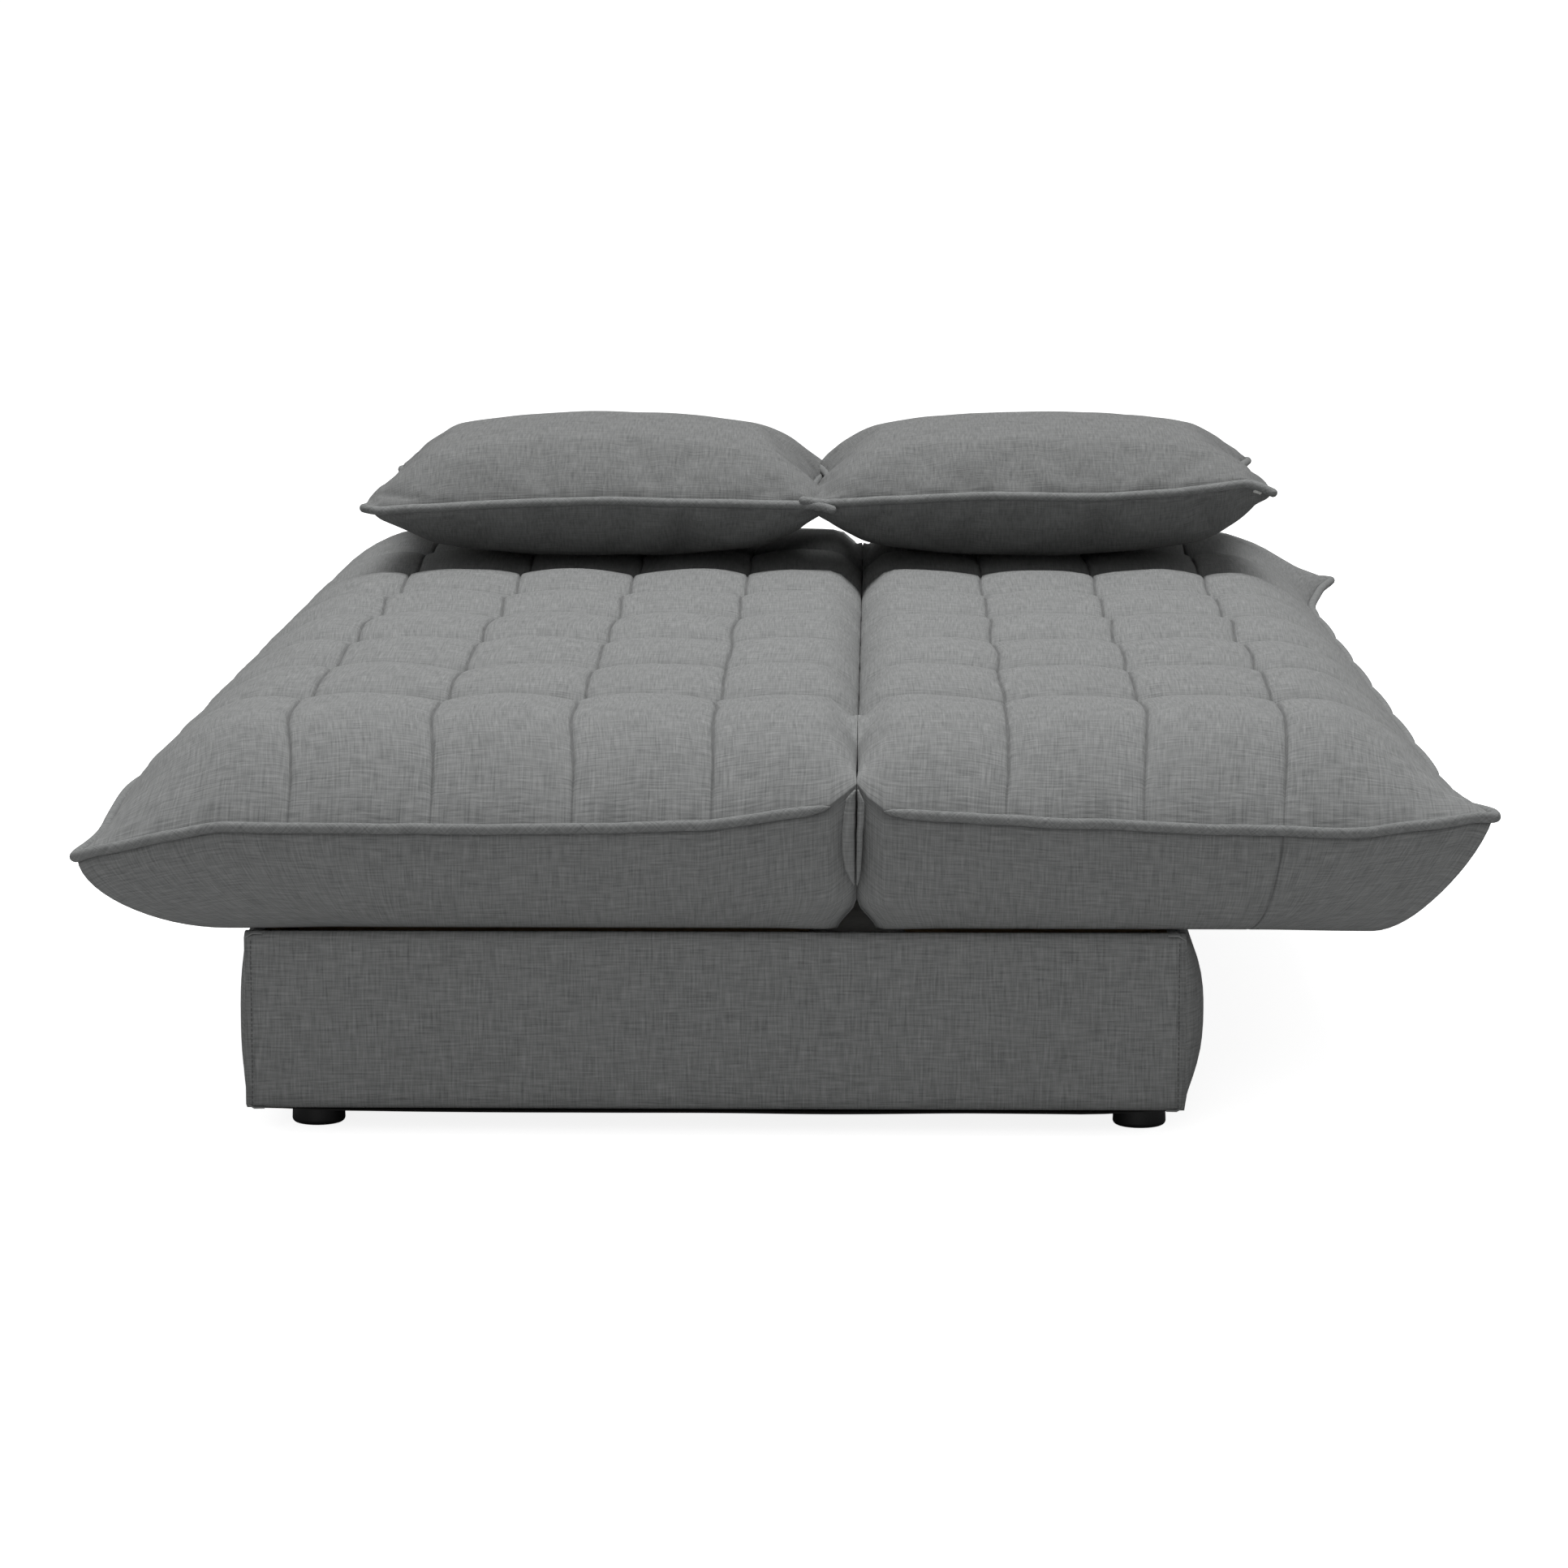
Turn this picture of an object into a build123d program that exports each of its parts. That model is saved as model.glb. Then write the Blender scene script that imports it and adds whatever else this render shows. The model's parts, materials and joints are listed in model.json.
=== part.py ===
"""A click-clack sofa bed, opened flat, in millimetres.

An upholstered bedding box on four feet carries a quilted seat half (towards -X) and a
quilted back half (towards +X). Both turn about one axis that runs along the crease, just
under the top surface, on a ratchet fitting at each end. Two loose cushions lie on top.
X runs across the bed, Y along it, Z up. The origin is on the floor, under the middle.
"""

import os
from math import cos, hypot, radians, sin, tan

from build123d import *

os.makedirs("parts", exist_ok=True)

# ---- driving dimensions -------------------------------------------------------------

# the bed as a whole
bed_length = 1980.0
seat_width = 670.0  # from the crease to the front edge
back_width = 550.0  # from the crease to the rear edge
foot_height = 24.0
base_height = 156.0
base_gap = 3.0  # from the top of the box to the underside of the bed
under_depth = 94.0  # from the underside up to the piping
piping_drop = 69.0  # from the piping up to the quilting seams
crown = 18.0  # from the quilting seams up to the crests

# how it moves
fold_travel = 75.0  # the back half, from flat to upright
lift_travel = 20.0  # the seat half, lifted to reach the box
pivot_depth = 9.0  # the axis under the quilting seams
wedge_spare = 2.5  # spare angle between the halves at both limits
crease_gap = 0.4  # each half, clear of the crease plane
crease_mouth = 20.0  # the gap between the halves at the underside, half its width
crease_mouth_height = 30.0

# quilted halves
piping_diameter = 8.5
piping_corner = 28.0
crown_run = 165.0  # how far in from the edge the crown starts
shoulder = 60.0  # how far in from the edge the top's curve aims
seat_under_flat = 543.0  # from the crease, where the underside starts to turn up
back_under_flat = 463.0
seat_under_aim = 655.0  # from the crease, where the underside's curve aims
back_under_aim = 505.0
under_aim_rise = 6.0
end_under_inset = 35.0
end_aim_inset = 15.0
cover_wall = 15.0
crease_wall = 20.0
cavity_top_z_drop = 47.0  # from the quilting seams down to the foam's top
cloth_thickness = 1.0

# bedding box
base_front_reach = 523.0  # from the crease to the front board's face
base_rear_reach = 276.0
base_end_inset = 38.0
board_thickness = 18.0
floor_thickness = 5.0
panel_inset = 202.0  # from the bed's end to the outer face of the box's end panel
front_pad = 20.0
rear_pad = 30.0
end_pad = 8.0
cover_lip = 3.0
pad_round = 12.0
block_size = 70.0

# feet
foot_diameter = 47.0
foot_round = 4.0
foot_front_inset = 46.0  # from the front board's face
foot_rear_inset = 26.0
foot_end_inset = 100.0  # from the bed's end
screw_radius = 3.0
screw_head_radius = 6.5
screw_head_height = 4.0
screw_head_depth = 8.0
screw_grip = 40.0
foot_bore_radius = 8.0
fit_clearance = 0.05

# steel frames and slats
tube_width = 20.0
tube_height = 30.0
tube_wall = 1.5
slat_width = 60.0
slat_thickness = 8.0
slat_pitch = 140.0
slat_count = 11
holder_length = 70.0
holder_height = 19.0
holder_seat = 6.0  # under the slat
holder_end_wall = 5.0

# fold fitting
bracket_thickness = 5.0
arm_thickness = 4.0
layer_gap = 1.0
washer_thickness = 0.8
washer_radius = 8.0
eye_radius = 10.0
bolt_radius = 4.0
bolt_head_radius = 6.5
bolt_head_height = 5.3
nut_height = 6.5
nut_across = 13.0
bolt_tail = 2.0
bracket_foot_width = 90.0
bracket_neck_width = 34.0
bracket_foot_drop = 118.0  # from the board top down
bracket_shoulder = 25.0
bracket_neck_drop = 53.0  # the neck starts to narrow this far under the axis
arm_reach = 80.0  # from the axis to the elbow, across
arm_foot = 70.0  # from the elbow along the frame
arm_width = 20.0
small_bolt_radius = 3.0
small_head_radius = 5.5
small_head_height = 4.0
small_bolt_grip = 12.0

# ratchet
rim_radius = 60.0
rim_web = 18.0
rim_start = -62.0  # degrees from +X, at rest
rim_end = -168.0
nose_radius = 4.0
nose_clear = 1.0
notch_spare = 1.0
nose_angle = -80.0
pawl_throw = 9.0
pawl_pin_out = -14.0  # from the axis
pawl_pin_down = 76.0
pawl_pin_radius = 2.5
pawl_hub_radius = 7.0
fold_stops = (0.0, 19.0, 38.0, 57.0, 75.0)
spring_thickness = 0.8
spring_clear = 0.3
spring_foot_radius = 3.0
spring_foot_down = 34.0  # under the pawl's pin
pocket_spare = 5.0

# cushions
cushion_width = 500.0
cushion_length = 490.0
cushion_thickness = 154.0
cushion_mid = 70.0  # from the underside up to the piping
cushion_piping = 8.0
cushion_arch = 190.0  # how far in from the edge its crown starts
cushion_shoulder = 70.0
cushion_cloth = 3.0
cushion_lift = 1.0
cushion_gap = 2.0
cushion_split = -44.0  # from the crease to the gap between the cushions
cushion_from_end = 1335.0  # from the near end

# ---- worked out from them -----------------------------------------------------------

half_length = bed_length / 2
crease_x = (seat_width - back_width) / 2
base_bottom = foot_height + cloth_thickness
base_top = base_bottom + base_height
board_top = base_top - cover_lip
underside_z = base_top + base_gap
piping_z = underside_z + under_depth
seam_z = piping_z + piping_drop
crest_z = seam_z + crown
pivot_z = seam_z - pivot_depth
cavity_top = seam_z - cavity_top_z_drop
wedge_angle = (180 - fold_travel - lift_travel) / 2 - wedge_spare
wedge_run = (crest_z - pivot_z) / tan(radians(wedge_angle))
piping_radius = piping_diameter / 2

box_front = crease_x - base_front_reach
box_rear = crease_x + base_rear_reach
box_end = half_length - base_end_inset
inner_front = box_front + board_thickness
inner_rear = box_rear - board_thickness
inner_end = box_end - board_thickness
panel_out = half_length - panel_inset
panel_in = panel_out - board_thickness

foot_x = {"front": box_front + foot_front_inset, "rear": box_rear - foot_rear_inset}
foot_y = half_length - foot_end_inset
foot_spots = [(x, side * foot_y) for x in foot_x.values() for side in (-1, 1)]

# layers of the fold fitting, measured out from the middle of the bed
bracket_layer = (panel_out, panel_out + bracket_thickness)
seat_layer_start = bracket_layer[1] + layer_gap
seat_arm_layer = (seat_layer_start, seat_layer_start + arm_thickness)
back_layer_start = seat_arm_layer[1] + layer_gap
back_arm_layer = (back_layer_start, back_layer_start + arm_thickness)
nut_layer = (back_arm_layer[1] + layer_gap, back_arm_layer[1] + layer_gap + nut_height)
bolt_end = nut_layer[1] + bolt_tail
pocket_layer = (bracket_layer[0] - bolt_head_height - pocket_spare, bolt_end + pocket_spare)
pocket_reach = rim_radius + pocket_spare
pocket_top = pivot_z + eye_radius + pocket_spare

tube_bottom = underside_z + cloth_thickness
tube_top = tube_bottom + tube_height
tube_middle = tube_bottom + tube_height / 2
foam_bottom = tube_top + holder_height
cavity_end = half_length - end_under_inset - cover_wall

ENDS = (("near", -1), ("far", 1))
SIDES = (("seat", -1), ("back", 1))
width_of = {"seat": seat_width, "back": back_width}
under_flat = {"seat": seat_under_flat, "back": back_under_flat}
under_aim = {"seat": seat_under_aim, "back": back_under_aim}
arm_layer = {"seat": seat_arm_layer, "back": back_arm_layer}


# ---- shared shapes ------------------------------------------------------------------


def keep(piece, name):
    """Label a finished piece and write it to its own file."""
    piece.part.label = name
    export_step(piece.part, f"parts/{name}.step")


def block(x, y, z):
    """A box between two values along each axis."""
    with BuildPart() as made:
        with BuildSketch(Plane.XY.offset(min(z))):
            with Locations(((x[0] + x[1]) / 2, (y[0] + y[1]) / 2)):
                Rectangle(abs(x[1] - x[0]), abs(y[1] - y[0]))
        extrude(amount=max(z) - min(z))
    return made


def layer_plane(layer, side):
    """The plane that a plate is drawn on; extruding it goes towards -Y."""
    return Plane.XZ.offset(-(layer[1] if side > 0 else -layer[0]))


def thickness(layer):
    """How thick a layer is."""
    return layer[1] - layer[0]


def across(side, *reach):
    """X at each distance out from the crease, on one half's side."""
    return tuple(crease_x + side * r for r in reach)


def polar(radius, degrees):
    """A point on a circle round the axis, in X and Z."""
    return (
        crease_x + radius * cos(radians(degrees)),
        pivot_z + radius * sin(radians(degrees)),
    )


def turned(point, centre, degrees):
    """A point turned about a centre."""
    dx, dz = point[0] - centre[0], point[1] - centre[1]
    c, s = cos(radians(degrees)), sin(radians(degrees))
    return (centre[0] + dx * c - dz * s, centre[1] + dx * s + dz * c)


def slot_between(start, end, width):
    """A round-ended bar between two points of the sketch."""
    middle = ((start[0] + end[0]) / 2, (start[1] + end[1]) / 2)
    SlotCenterPoint(middle, end, width)


# ---- bedding box --------------------------------------------------------------------

board_z = (base_bottom, board_top)
full_y = (-box_end, box_end)
keep(block((box_front, inner_front), full_y, board_z), "base_front_board")
keep(block((inner_rear, box_rear), full_y, board_z), "base_rear_board")
for end_name, side in ENDS:
    end_y = (side * inner_end, side * box_end)
    keep(block((inner_front, inner_rear), end_y, board_z), f"base_end_board_{end_name}")

floor_z = (base_bottom, base_bottom + floor_thickness)
keep(block((inner_front, inner_rear), (-panel_in, panel_in), floor_z), "box_floor")

bracket_middle = board_top - bracket_foot_drop / 2
bracket_bolt_spots = [
    (crease_x + across_sign * bracket_foot_width / 3, bracket_middle + up_sign * bracket_foot_width / 3)
    for across_sign in (-1, 1)
    for up_sign in (-1, 1)
]

for end_name, side in ENDS:
    panel_layer = (panel_in, panel_out)
    with BuildPart() as box_end_panel:
        with BuildSketch(layer_plane(panel_layer, side)):
            with Locations(((inner_front + inner_rear) / 2, (base_bottom + board_top) / 2)):
                Rectangle(inner_rear - inner_front, board_top - base_bottom)
            with Locations(*bracket_bolt_spots):
                Circle(small_bolt_radius + fit_clearance, mode=Mode.SUBTRACT)
        extrude(amount=board_thickness)
    keep(box_end_panel, f"box_end_panel_{end_name}")

with BuildPart() as corner_blocks:
    with BuildSketch(Plane.XY.offset(base_bottom)):
        for x in (inner_front + block_size / 2, inner_rear - block_size / 2):
            for side in (-1, 1):
                with Locations((x, side * (inner_end - block_size / 2))):
                    Rectangle(block_size, block_size)
    extrude(amount=block_size)
    with BuildSketch(Plane.XY.offset(base_bottom)):
        with Locations(*foot_spots):
            Circle(screw_radius + fit_clearance)
    extrude(amount=screw_grip + fit_clearance, mode=Mode.SUBTRACT)
keep(corner_blocks, "corner_blocks")

with BuildPart() as dust_cover:
    with BuildSketch(Plane.XY.offset(foot_height)):
        with Locations(((box_front + box_rear) / 2, 0)):
            Rectangle(box_rear - box_front, 2 * box_end)
        with Locations(*foot_spots):
            Circle(screw_radius + fit_clearance, mode=Mode.SUBTRACT)
    extrude(amount=cloth_thickness)
keep(dust_cover, "dust_cover")

# padded covers: each hangs over its board's top edge by a lip
for cover_name, face, pad, board_side in (
    ("front", box_front, front_pad, -1),
    ("rear", box_rear, rear_pad, 1),
):
    with BuildPart() as base_cover:
        with BuildSketch(Plane.XZ):
            with BuildLine():
                Polyline(
                    (face, base_bottom),
                    (face, board_top),
                    (face - board_side * board_thickness, board_top),
                    (face - board_side * board_thickness, base_top),
                    (face + board_side * pad, base_top),
                    (face + board_side * pad, base_bottom),
                    close=True,
                )
            make_face()
        extrude(amount=box_end + end_pad, both=True)
        outer = base_cover.edges().filter_by(Axis.Y).group_by(Axis.X)[-1 if board_side > 0 else 0]
        fillet(outer, pad_round)
    keep(base_cover, f"base_cover_{cover_name}")

for end_name, side in ENDS:
    with BuildPart() as end_cover:
        with BuildSketch(Plane.YZ.offset(inner_front)):
            with BuildLine():
                Polyline(
                    (side * box_end, base_bottom),
                    (side * box_end, board_top),
                    (side * inner_end, board_top),
                    (side * inner_end, base_top),
                    (side * (box_end + end_pad), base_top),
                    (side * (box_end + end_pad), base_bottom),
                    close=True,
                )
            make_face()
        extrude(amount=inner_rear - inner_front)
        for face in (inner_front, inner_rear):
            # the cover also runs across the ends of the long boards
            with BuildSketch(Plane.XY.offset(base_bottom)):
                x_out = box_front if face == inner_front else box_rear
                with Locations(((face + x_out) / 2, side * (box_end + end_pad / 2))):
                    Rectangle(board_thickness, end_pad)
            extrude(amount=board_top - base_bottom)
    keep(end_cover, f"base_cover_end_{end_name}")

# ---- feet ---------------------------------------------------------------------------

for x_name, x in foot_x.items():
    for end_name, side in ENDS:
        with BuildPart() as foot:
            with BuildSketch(Plane.XY):
                with Locations((x, side * foot_y)):
                    Circle(foot_diameter / 2)
            extrude(amount=foot_height)
            fillet(foot.edges().group_by(Axis.Z)[0], foot_round)
            with BuildSketch(Plane.XY):
                with Locations((x, side * foot_y)):
                    Circle(foot_bore_radius)
            extrude(amount=screw_head_depth, mode=Mode.SUBTRACT)
            with BuildSketch(Plane.XY):
                with Locations((x, side * foot_y)):
                    Circle(screw_radius + fit_clearance)
            extrude(amount=foot_height, mode=Mode.SUBTRACT)
        keep(foot, f"foot_{x_name}_{end_name}")

with BuildPart() as foot_screws:
    with BuildSketch(Plane.XY.offset(screw_head_depth - screw_head_height)):
        with Locations(*foot_spots):
            Circle(screw_head_radius)
    extrude(amount=screw_head_height)
    with BuildSketch(Plane.XY.offset(screw_head_depth)):
        with Locations(*foot_spots):
            Circle(screw_radius)
    extrude(amount=base_bottom + screw_grip - screw_head_depth)
keep(foot_screws, "foot_screws")

# ---- fold fitting: the fixed side -----------------------------------------------------

pivot = (crease_x, pivot_z)
pawl_pin = (crease_x + pawl_pin_out, pivot_z - pawl_pin_down)
nose_rest = polar(rim_radius + nose_clear + nose_radius, nose_angle)
nose_locked = turned(nose_rest, pawl_pin, pawl_throw)
spring_foot = (pawl_pin[0], pawl_pin[1] - spring_foot_down)
half_foot = bracket_foot_width / 2
half_neck = bracket_neck_width / 2

for end_name, side in ENDS:
    with BuildPart() as base_bracket:
        with BuildSketch(layer_plane(bracket_layer, side)):
            with BuildLine():
                Polyline(
                    (crease_x - half_foot, board_top - bracket_foot_drop),
                    (crease_x + half_foot, board_top - bracket_foot_drop),
                    (crease_x + half_foot, board_top - bracket_shoulder),
                    (crease_x + half_neck, board_top),
                    (crease_x + half_neck, pivot_z - bracket_neck_drop),
                    (crease_x + eye_radius, pivot_z),
                    (crease_x - eye_radius, pivot_z),
                    (crease_x - half_neck, pivot_z - bracket_neck_drop),
                    (crease_x - half_neck, board_top),
                    (crease_x - half_foot, board_top - bracket_shoulder),
                    close=True,
                )
            make_face()
            with Locations(pivot):
                Circle(eye_radius)
            with Locations(pivot):
                Circle(bolt_radius + fit_clearance, mode=Mode.SUBTRACT)
            with Locations(pawl_pin):
                Circle(pawl_pin_radius + fit_clearance, mode=Mode.SUBTRACT)
            with Locations(*bracket_bolt_spots):
                Circle(small_bolt_radius + fit_clearance, mode=Mode.SUBTRACT)
        extrude(amount=bracket_thickness)
    keep(base_bracket, f"base_bracket_{end_name}")

with BuildPart() as bracket_bolts:
    for _, side in ENDS:
        head = (bracket_layer[1], bracket_layer[1] + small_head_height)
        shank = (panel_in, bracket_layer[1])
        for layer, radius in ((head, small_head_radius), (shank, small_bolt_radius)):
            with BuildSketch(layer_plane(layer, side)):
                with Locations(*bracket_bolt_spots):
                    Circle(radius)
            extrude(amount=thickness(layer))
keep(bracket_bolts, "bracket_bolts")

with BuildPart() as pivot_bolts:
    for _, side in ENDS:
        head = (bracket_layer[0] - bolt_head_height, bracket_layer[0])
        shank = (bracket_layer[0], bolt_end)
        for layer, radius in ((head, bolt_head_radius), (shank, bolt_radius)):
            with BuildSketch(layer_plane(layer, side)):
                with Locations(pivot):
                    Circle(radius)
            extrude(amount=thickness(layer))
keep(pivot_bolts, "pivot_bolts")

with BuildPart() as pivot_nuts:
    for _, side in ENDS:
        with BuildSketch(layer_plane(nut_layer, side)):
            with Locations(pivot):
                RegularPolygon(nut_across / 2, 6, major_radius=False)
            with Locations(pivot):
                Circle(bolt_radius + fit_clearance, mode=Mode.SUBTRACT)
        extrude(amount=nut_height)
keep(pivot_nuts, "pivot_nuts")

with BuildPart() as pivot_washers:
    washer_play = (layer_gap - washer_thickness) / 2
    for _, side in ENDS:
        for below in (bracket_layer, seat_arm_layer, back_arm_layer):
            washer = (below[1] + washer_play, below[1] + washer_play + washer_thickness)
            with BuildSketch(layer_plane(washer, side)):
                with Locations(pivot):
                    Circle(washer_radius)
                with Locations(pivot):
                    Circle(bolt_radius + fit_clearance, mode=Mode.SUBTRACT)
            extrude(amount=washer_thickness)
keep(pivot_washers, "pivot_washers")

with BuildPart() as pawl_pins:
    for _, side in ENDS:
        pin = (bracket_layer[0], back_arm_layer[1] + layer_gap)
        with BuildSketch(layer_plane(pin, side)):
            with Locations(pawl_pin):
                Circle(pawl_pin_radius)
        extrude(amount=thickness(pin))
keep(pawl_pins, "pawl_pins")

# ---- fold fitting: pawls and their leaf springs ---------------------------------------

for end_name, side in ENDS:
    with BuildPart() as pawl:
        with BuildSketch(layer_plane(back_arm_layer, side)):
            with Locations(pawl_pin):
                Circle(pawl_hub_radius)
            slot_between(pawl_pin, nose_rest, 2 * nose_radius)
            with Locations(pawl_pin):
                Circle(pawl_pin_radius + fit_clearance, mode=Mode.SUBTRACT)
        extrude(amount=arm_thickness)
    keep(pawl, f"pawl_{end_name}")

    with BuildPart() as pawl_spring:
        lever = (nose_rest[0] - pawl_pin[0], nose_rest[1] - pawl_pin[1])
        lever_length = hypot(*lever)
        under = nose_radius + spring_clear + spring_thickness
        tip = (
            pawl_pin[0] + lever[0] / 2 + lever[1] / lever_length * under,
            pawl_pin[1] + lever[1] / 2 - lever[0] / lever_length * under,
        )
        foot_layer = (bracket_layer[1], back_arm_layer[1])
        with BuildSketch(layer_plane(foot_layer, side)):
            with Locations(spring_foot):
                Circle(spring_foot_radius)
        extrude(amount=thickness(foot_layer))
        with BuildSketch(layer_plane(back_arm_layer, side)):
            slot_between(spring_foot, tip, spring_thickness)
        extrude(amount=arm_thickness)
    keep(pawl_spring, f"pawl_spring_{end_name}")

# ---- the two halves -------------------------------------------------------------------


def half_body(name, side):
    """The padded outer shape of one half: its section across, cut by its section along."""
    width = width_of[name] - piping_radius
    start, mouth, flat, aim = crease_gap, crease_mouth, under_flat[name], under_aim[name]
    x = across(side, start, start + wedge_run, width_of[name] - crown_run, width_of[name] - shoulder, width)
    x_under = across(side, aim, flat, mouth, start)
    lip_top, lip_bottom = piping_z + piping_radius, piping_z - piping_radius
    with BuildPart() as body:
        with BuildSketch(Plane.XZ):
            with BuildLine():
                Polyline((x[0], pivot_z), (x[1], crest_z), (x[2], crest_z))
                Bezier((x[2], crest_z), (x[3], crest_z), (x[4], lip_top))
                Line((x[4], lip_top), (x[4], lip_bottom))
                aim_point = (x_under[0], underside_z + under_aim_rise)
                Bezier((x[4], lip_bottom), aim_point, (x_under[1], underside_z))
                Polyline(
                    (x_under[1], underside_z),
                    (x_under[2], underside_z),
                    (x_under[3], underside_z + crease_mouth_height),
                    (x[0], pivot_z),
                )
            make_face()
        extrude(amount=half_length, both=True)
        end = half_length - piping_radius
        run, aim_in = half_length - crown_run, half_length - shoulder
        low, low_aim = half_length - end_under_inset, half_length - end_aim_inset
        with BuildSketch(Plane.YZ.offset(crease_x)):
            with BuildLine():
                Line((-run, crest_z), (run, crest_z))
                Bezier((run, crest_z), (aim_in, crest_z), (end, lip_top))
                Line((end, lip_top), (end, lip_bottom))
                Bezier((end, lip_bottom), (low_aim, underside_z + under_aim_rise), (low, underside_z))
                Line((low, underside_z), (-low, underside_z))
                Bezier((-low, underside_z), (-low_aim, underside_z + under_aim_rise), (-end, lip_bottom))
                Line((-end, lip_bottom), (-end, lip_top))
                Bezier((-end, lip_top), (-aim_in, crest_z), (-run, crest_z))
            make_face()
        extrude(amount=side * width_of[name], mode=Mode.INTERSECT)
    return body


for name, side in SIDES:
    cavity_x = across(side, crease_wall, under_flat[name] - cover_wall)
    pocket_x = across(side, 0, pocket_reach)
    arm_end = arm_reach + arm_foot + arm_width
    notch_x = across(side, 0, arm_end)
    layer = arm_layer[name]

    with BuildPart() as piping:
        with BuildLine():
            edge = width_of[name] - piping_radius
            end = half_length - piping_radius
            path = FilletPolyline(
                (crease_x + side * crease_wall, -end),
                (crease_x + side * edge, -end),
                (crease_x + side * edge, end),
                (crease_x + side * crease_wall, end),
                radius=piping_corner,
            )
        with BuildSketch(Plane(path @ 0, z_dir=path % 0)):
            Circle(piping_radius)
        sweep()
    piping.part.locate(Location((0, 0, piping_z)))
    keep(piping, f"{name}_piping")

    cavity = block(cavity_x, (-cavity_end, cavity_end), (underside_z, cavity_top))
    pockets = [
        block(pocket_x, (end * pocket_layer[0], end * pocket_layer[1]), (underside_z, pocket_top))
        for _, end in ENDS
    ]
    notches = [
        block(notch_x, (end * pocket_layer[0], end * pocket_layer[1]), (underside_z, cavity_top))
        for _, end in ENDS
    ]

    with BuildPart() as cover:
        add(half_body(name, side).part)
        add(cavity.part, mode=Mode.SUBTRACT)
        add([pocket.part for pocket in pockets], mode=Mode.SUBTRACT)
        add(piping.part, mode=Mode.SUBTRACT)
    keep(cover, f"{name}_cover")

    with BuildPart() as foam:
        add(block(cavity_x, (-cavity_end, cavity_end), (foam_bottom, cavity_top)).part)
        add([notch.part for notch in notches], mode=Mode.SUBTRACT)
    keep(foam, f"{name}_foam")

    with BuildPart() as underside_cloth:
        add(block(cavity_x, (-cavity_end, cavity_end), (underside_z, tube_bottom)).part)
        add([pocket.part for pocket in pockets], mode=Mode.SUBTRACT)
    keep(underside_cloth, f"{name}_underside_cloth")

    # steel frame: two long tubes, and cross tubes between them
    inner_tube_x = across(side, crease_wall, crease_wall + tube_width)
    outer_reach = under_flat[name] - cover_wall
    outer_tube_x = across(side, outer_reach - tube_width, outer_reach)
    for tube_name, tube_x in (("inner", inner_tube_x), ("outer", outer_tube_x)):
        with BuildPart() as long_tube:
            with BuildSketch(Plane.XZ):
                with Locations((sum(tube_x) / 2, tube_middle)):
                    Rectangle(tube_width, tube_height)
                    Rectangle(tube_width - 2 * tube_wall, tube_height - 2 * tube_wall, mode=Mode.SUBTRACT)
            extrude(amount=cavity_end, both=True)
        keep(long_tube, f"{name}_{tube_name}_tube")

    arm_bolt_x = across(side, arm_reach + arm_foot / 4, arm_reach + arm_foot)
    arm_bolt_spots = [(x, tube_middle) for x in arm_bolt_x]
    cross_middles = [0.0]
    for _, end in ENDS:
        cross_middles += [end * (layer[1] + tube_width / 2), end * (cavity_end - tube_width / 2)]
    with BuildPart() as cross_tubes:
        start = min(inner_tube_x) if side < 0 else max(inner_tube_x)
        stop = max(outer_tube_x) if side < 0 else min(outer_tube_x)
        with BuildSketch(Plane.YZ.offset(start)):
            for y in cross_middles:
                with Locations((y, tube_middle)):
                    Rectangle(tube_width, tube_height)
                    Rectangle(tube_width - 2 * tube_wall, tube_height - 2 * tube_wall, mode=Mode.SUBTRACT)
        extrude(amount=stop - start)
        for _, end in ENDS:
            near_wall = (layer[1], layer[1] + tube_wall)
            with BuildSketch(layer_plane(near_wall, end)):
                with Locations(*arm_bolt_spots):
                    Circle(small_bolt_radius + fit_clearance)
            extrude(amount=tube_wall, mode=Mode.SUBTRACT)
    keep(cross_tubes, f"{name}_cross_tubes")

    # bowed slats run across, each end pushed into a plastic holder on the long tube
    slat_middles = [(n - (slat_count - 1) / 2) * slat_pitch for n in range(slat_count)]
    slat_x = (
        min(inner_tube_x + outer_tube_x) + holder_end_wall,
        max(inner_tube_x + outer_tube_x) - holder_end_wall,
    )
    slat_z = tube_top + holder_seat
    with BuildPart() as slats:
        with BuildSketch(Plane.XY.offset(slat_z)):
            for y in slat_middles:
                with Locations((sum(slat_x) / 2, y)):
                    Rectangle(slat_x[1] - slat_x[0], slat_width)
        extrude(amount=slat_thickness)
    keep(slats, f"{name}_slats")

    with BuildPart() as slat_holders:
        with BuildSketch(Plane.XY.offset(tube_top)):
            for tube_x in (inner_tube_x, outer_tube_x):
                for y in slat_middles:
                    with Locations((sum(tube_x) / 2, y)):
                        Rectangle(tube_width, holder_length)
        extrude(amount=holder_height)
        add(slats.part, mode=Mode.SUBTRACT)
    keep(slat_holders, f"{name}_slat_holders")

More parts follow.
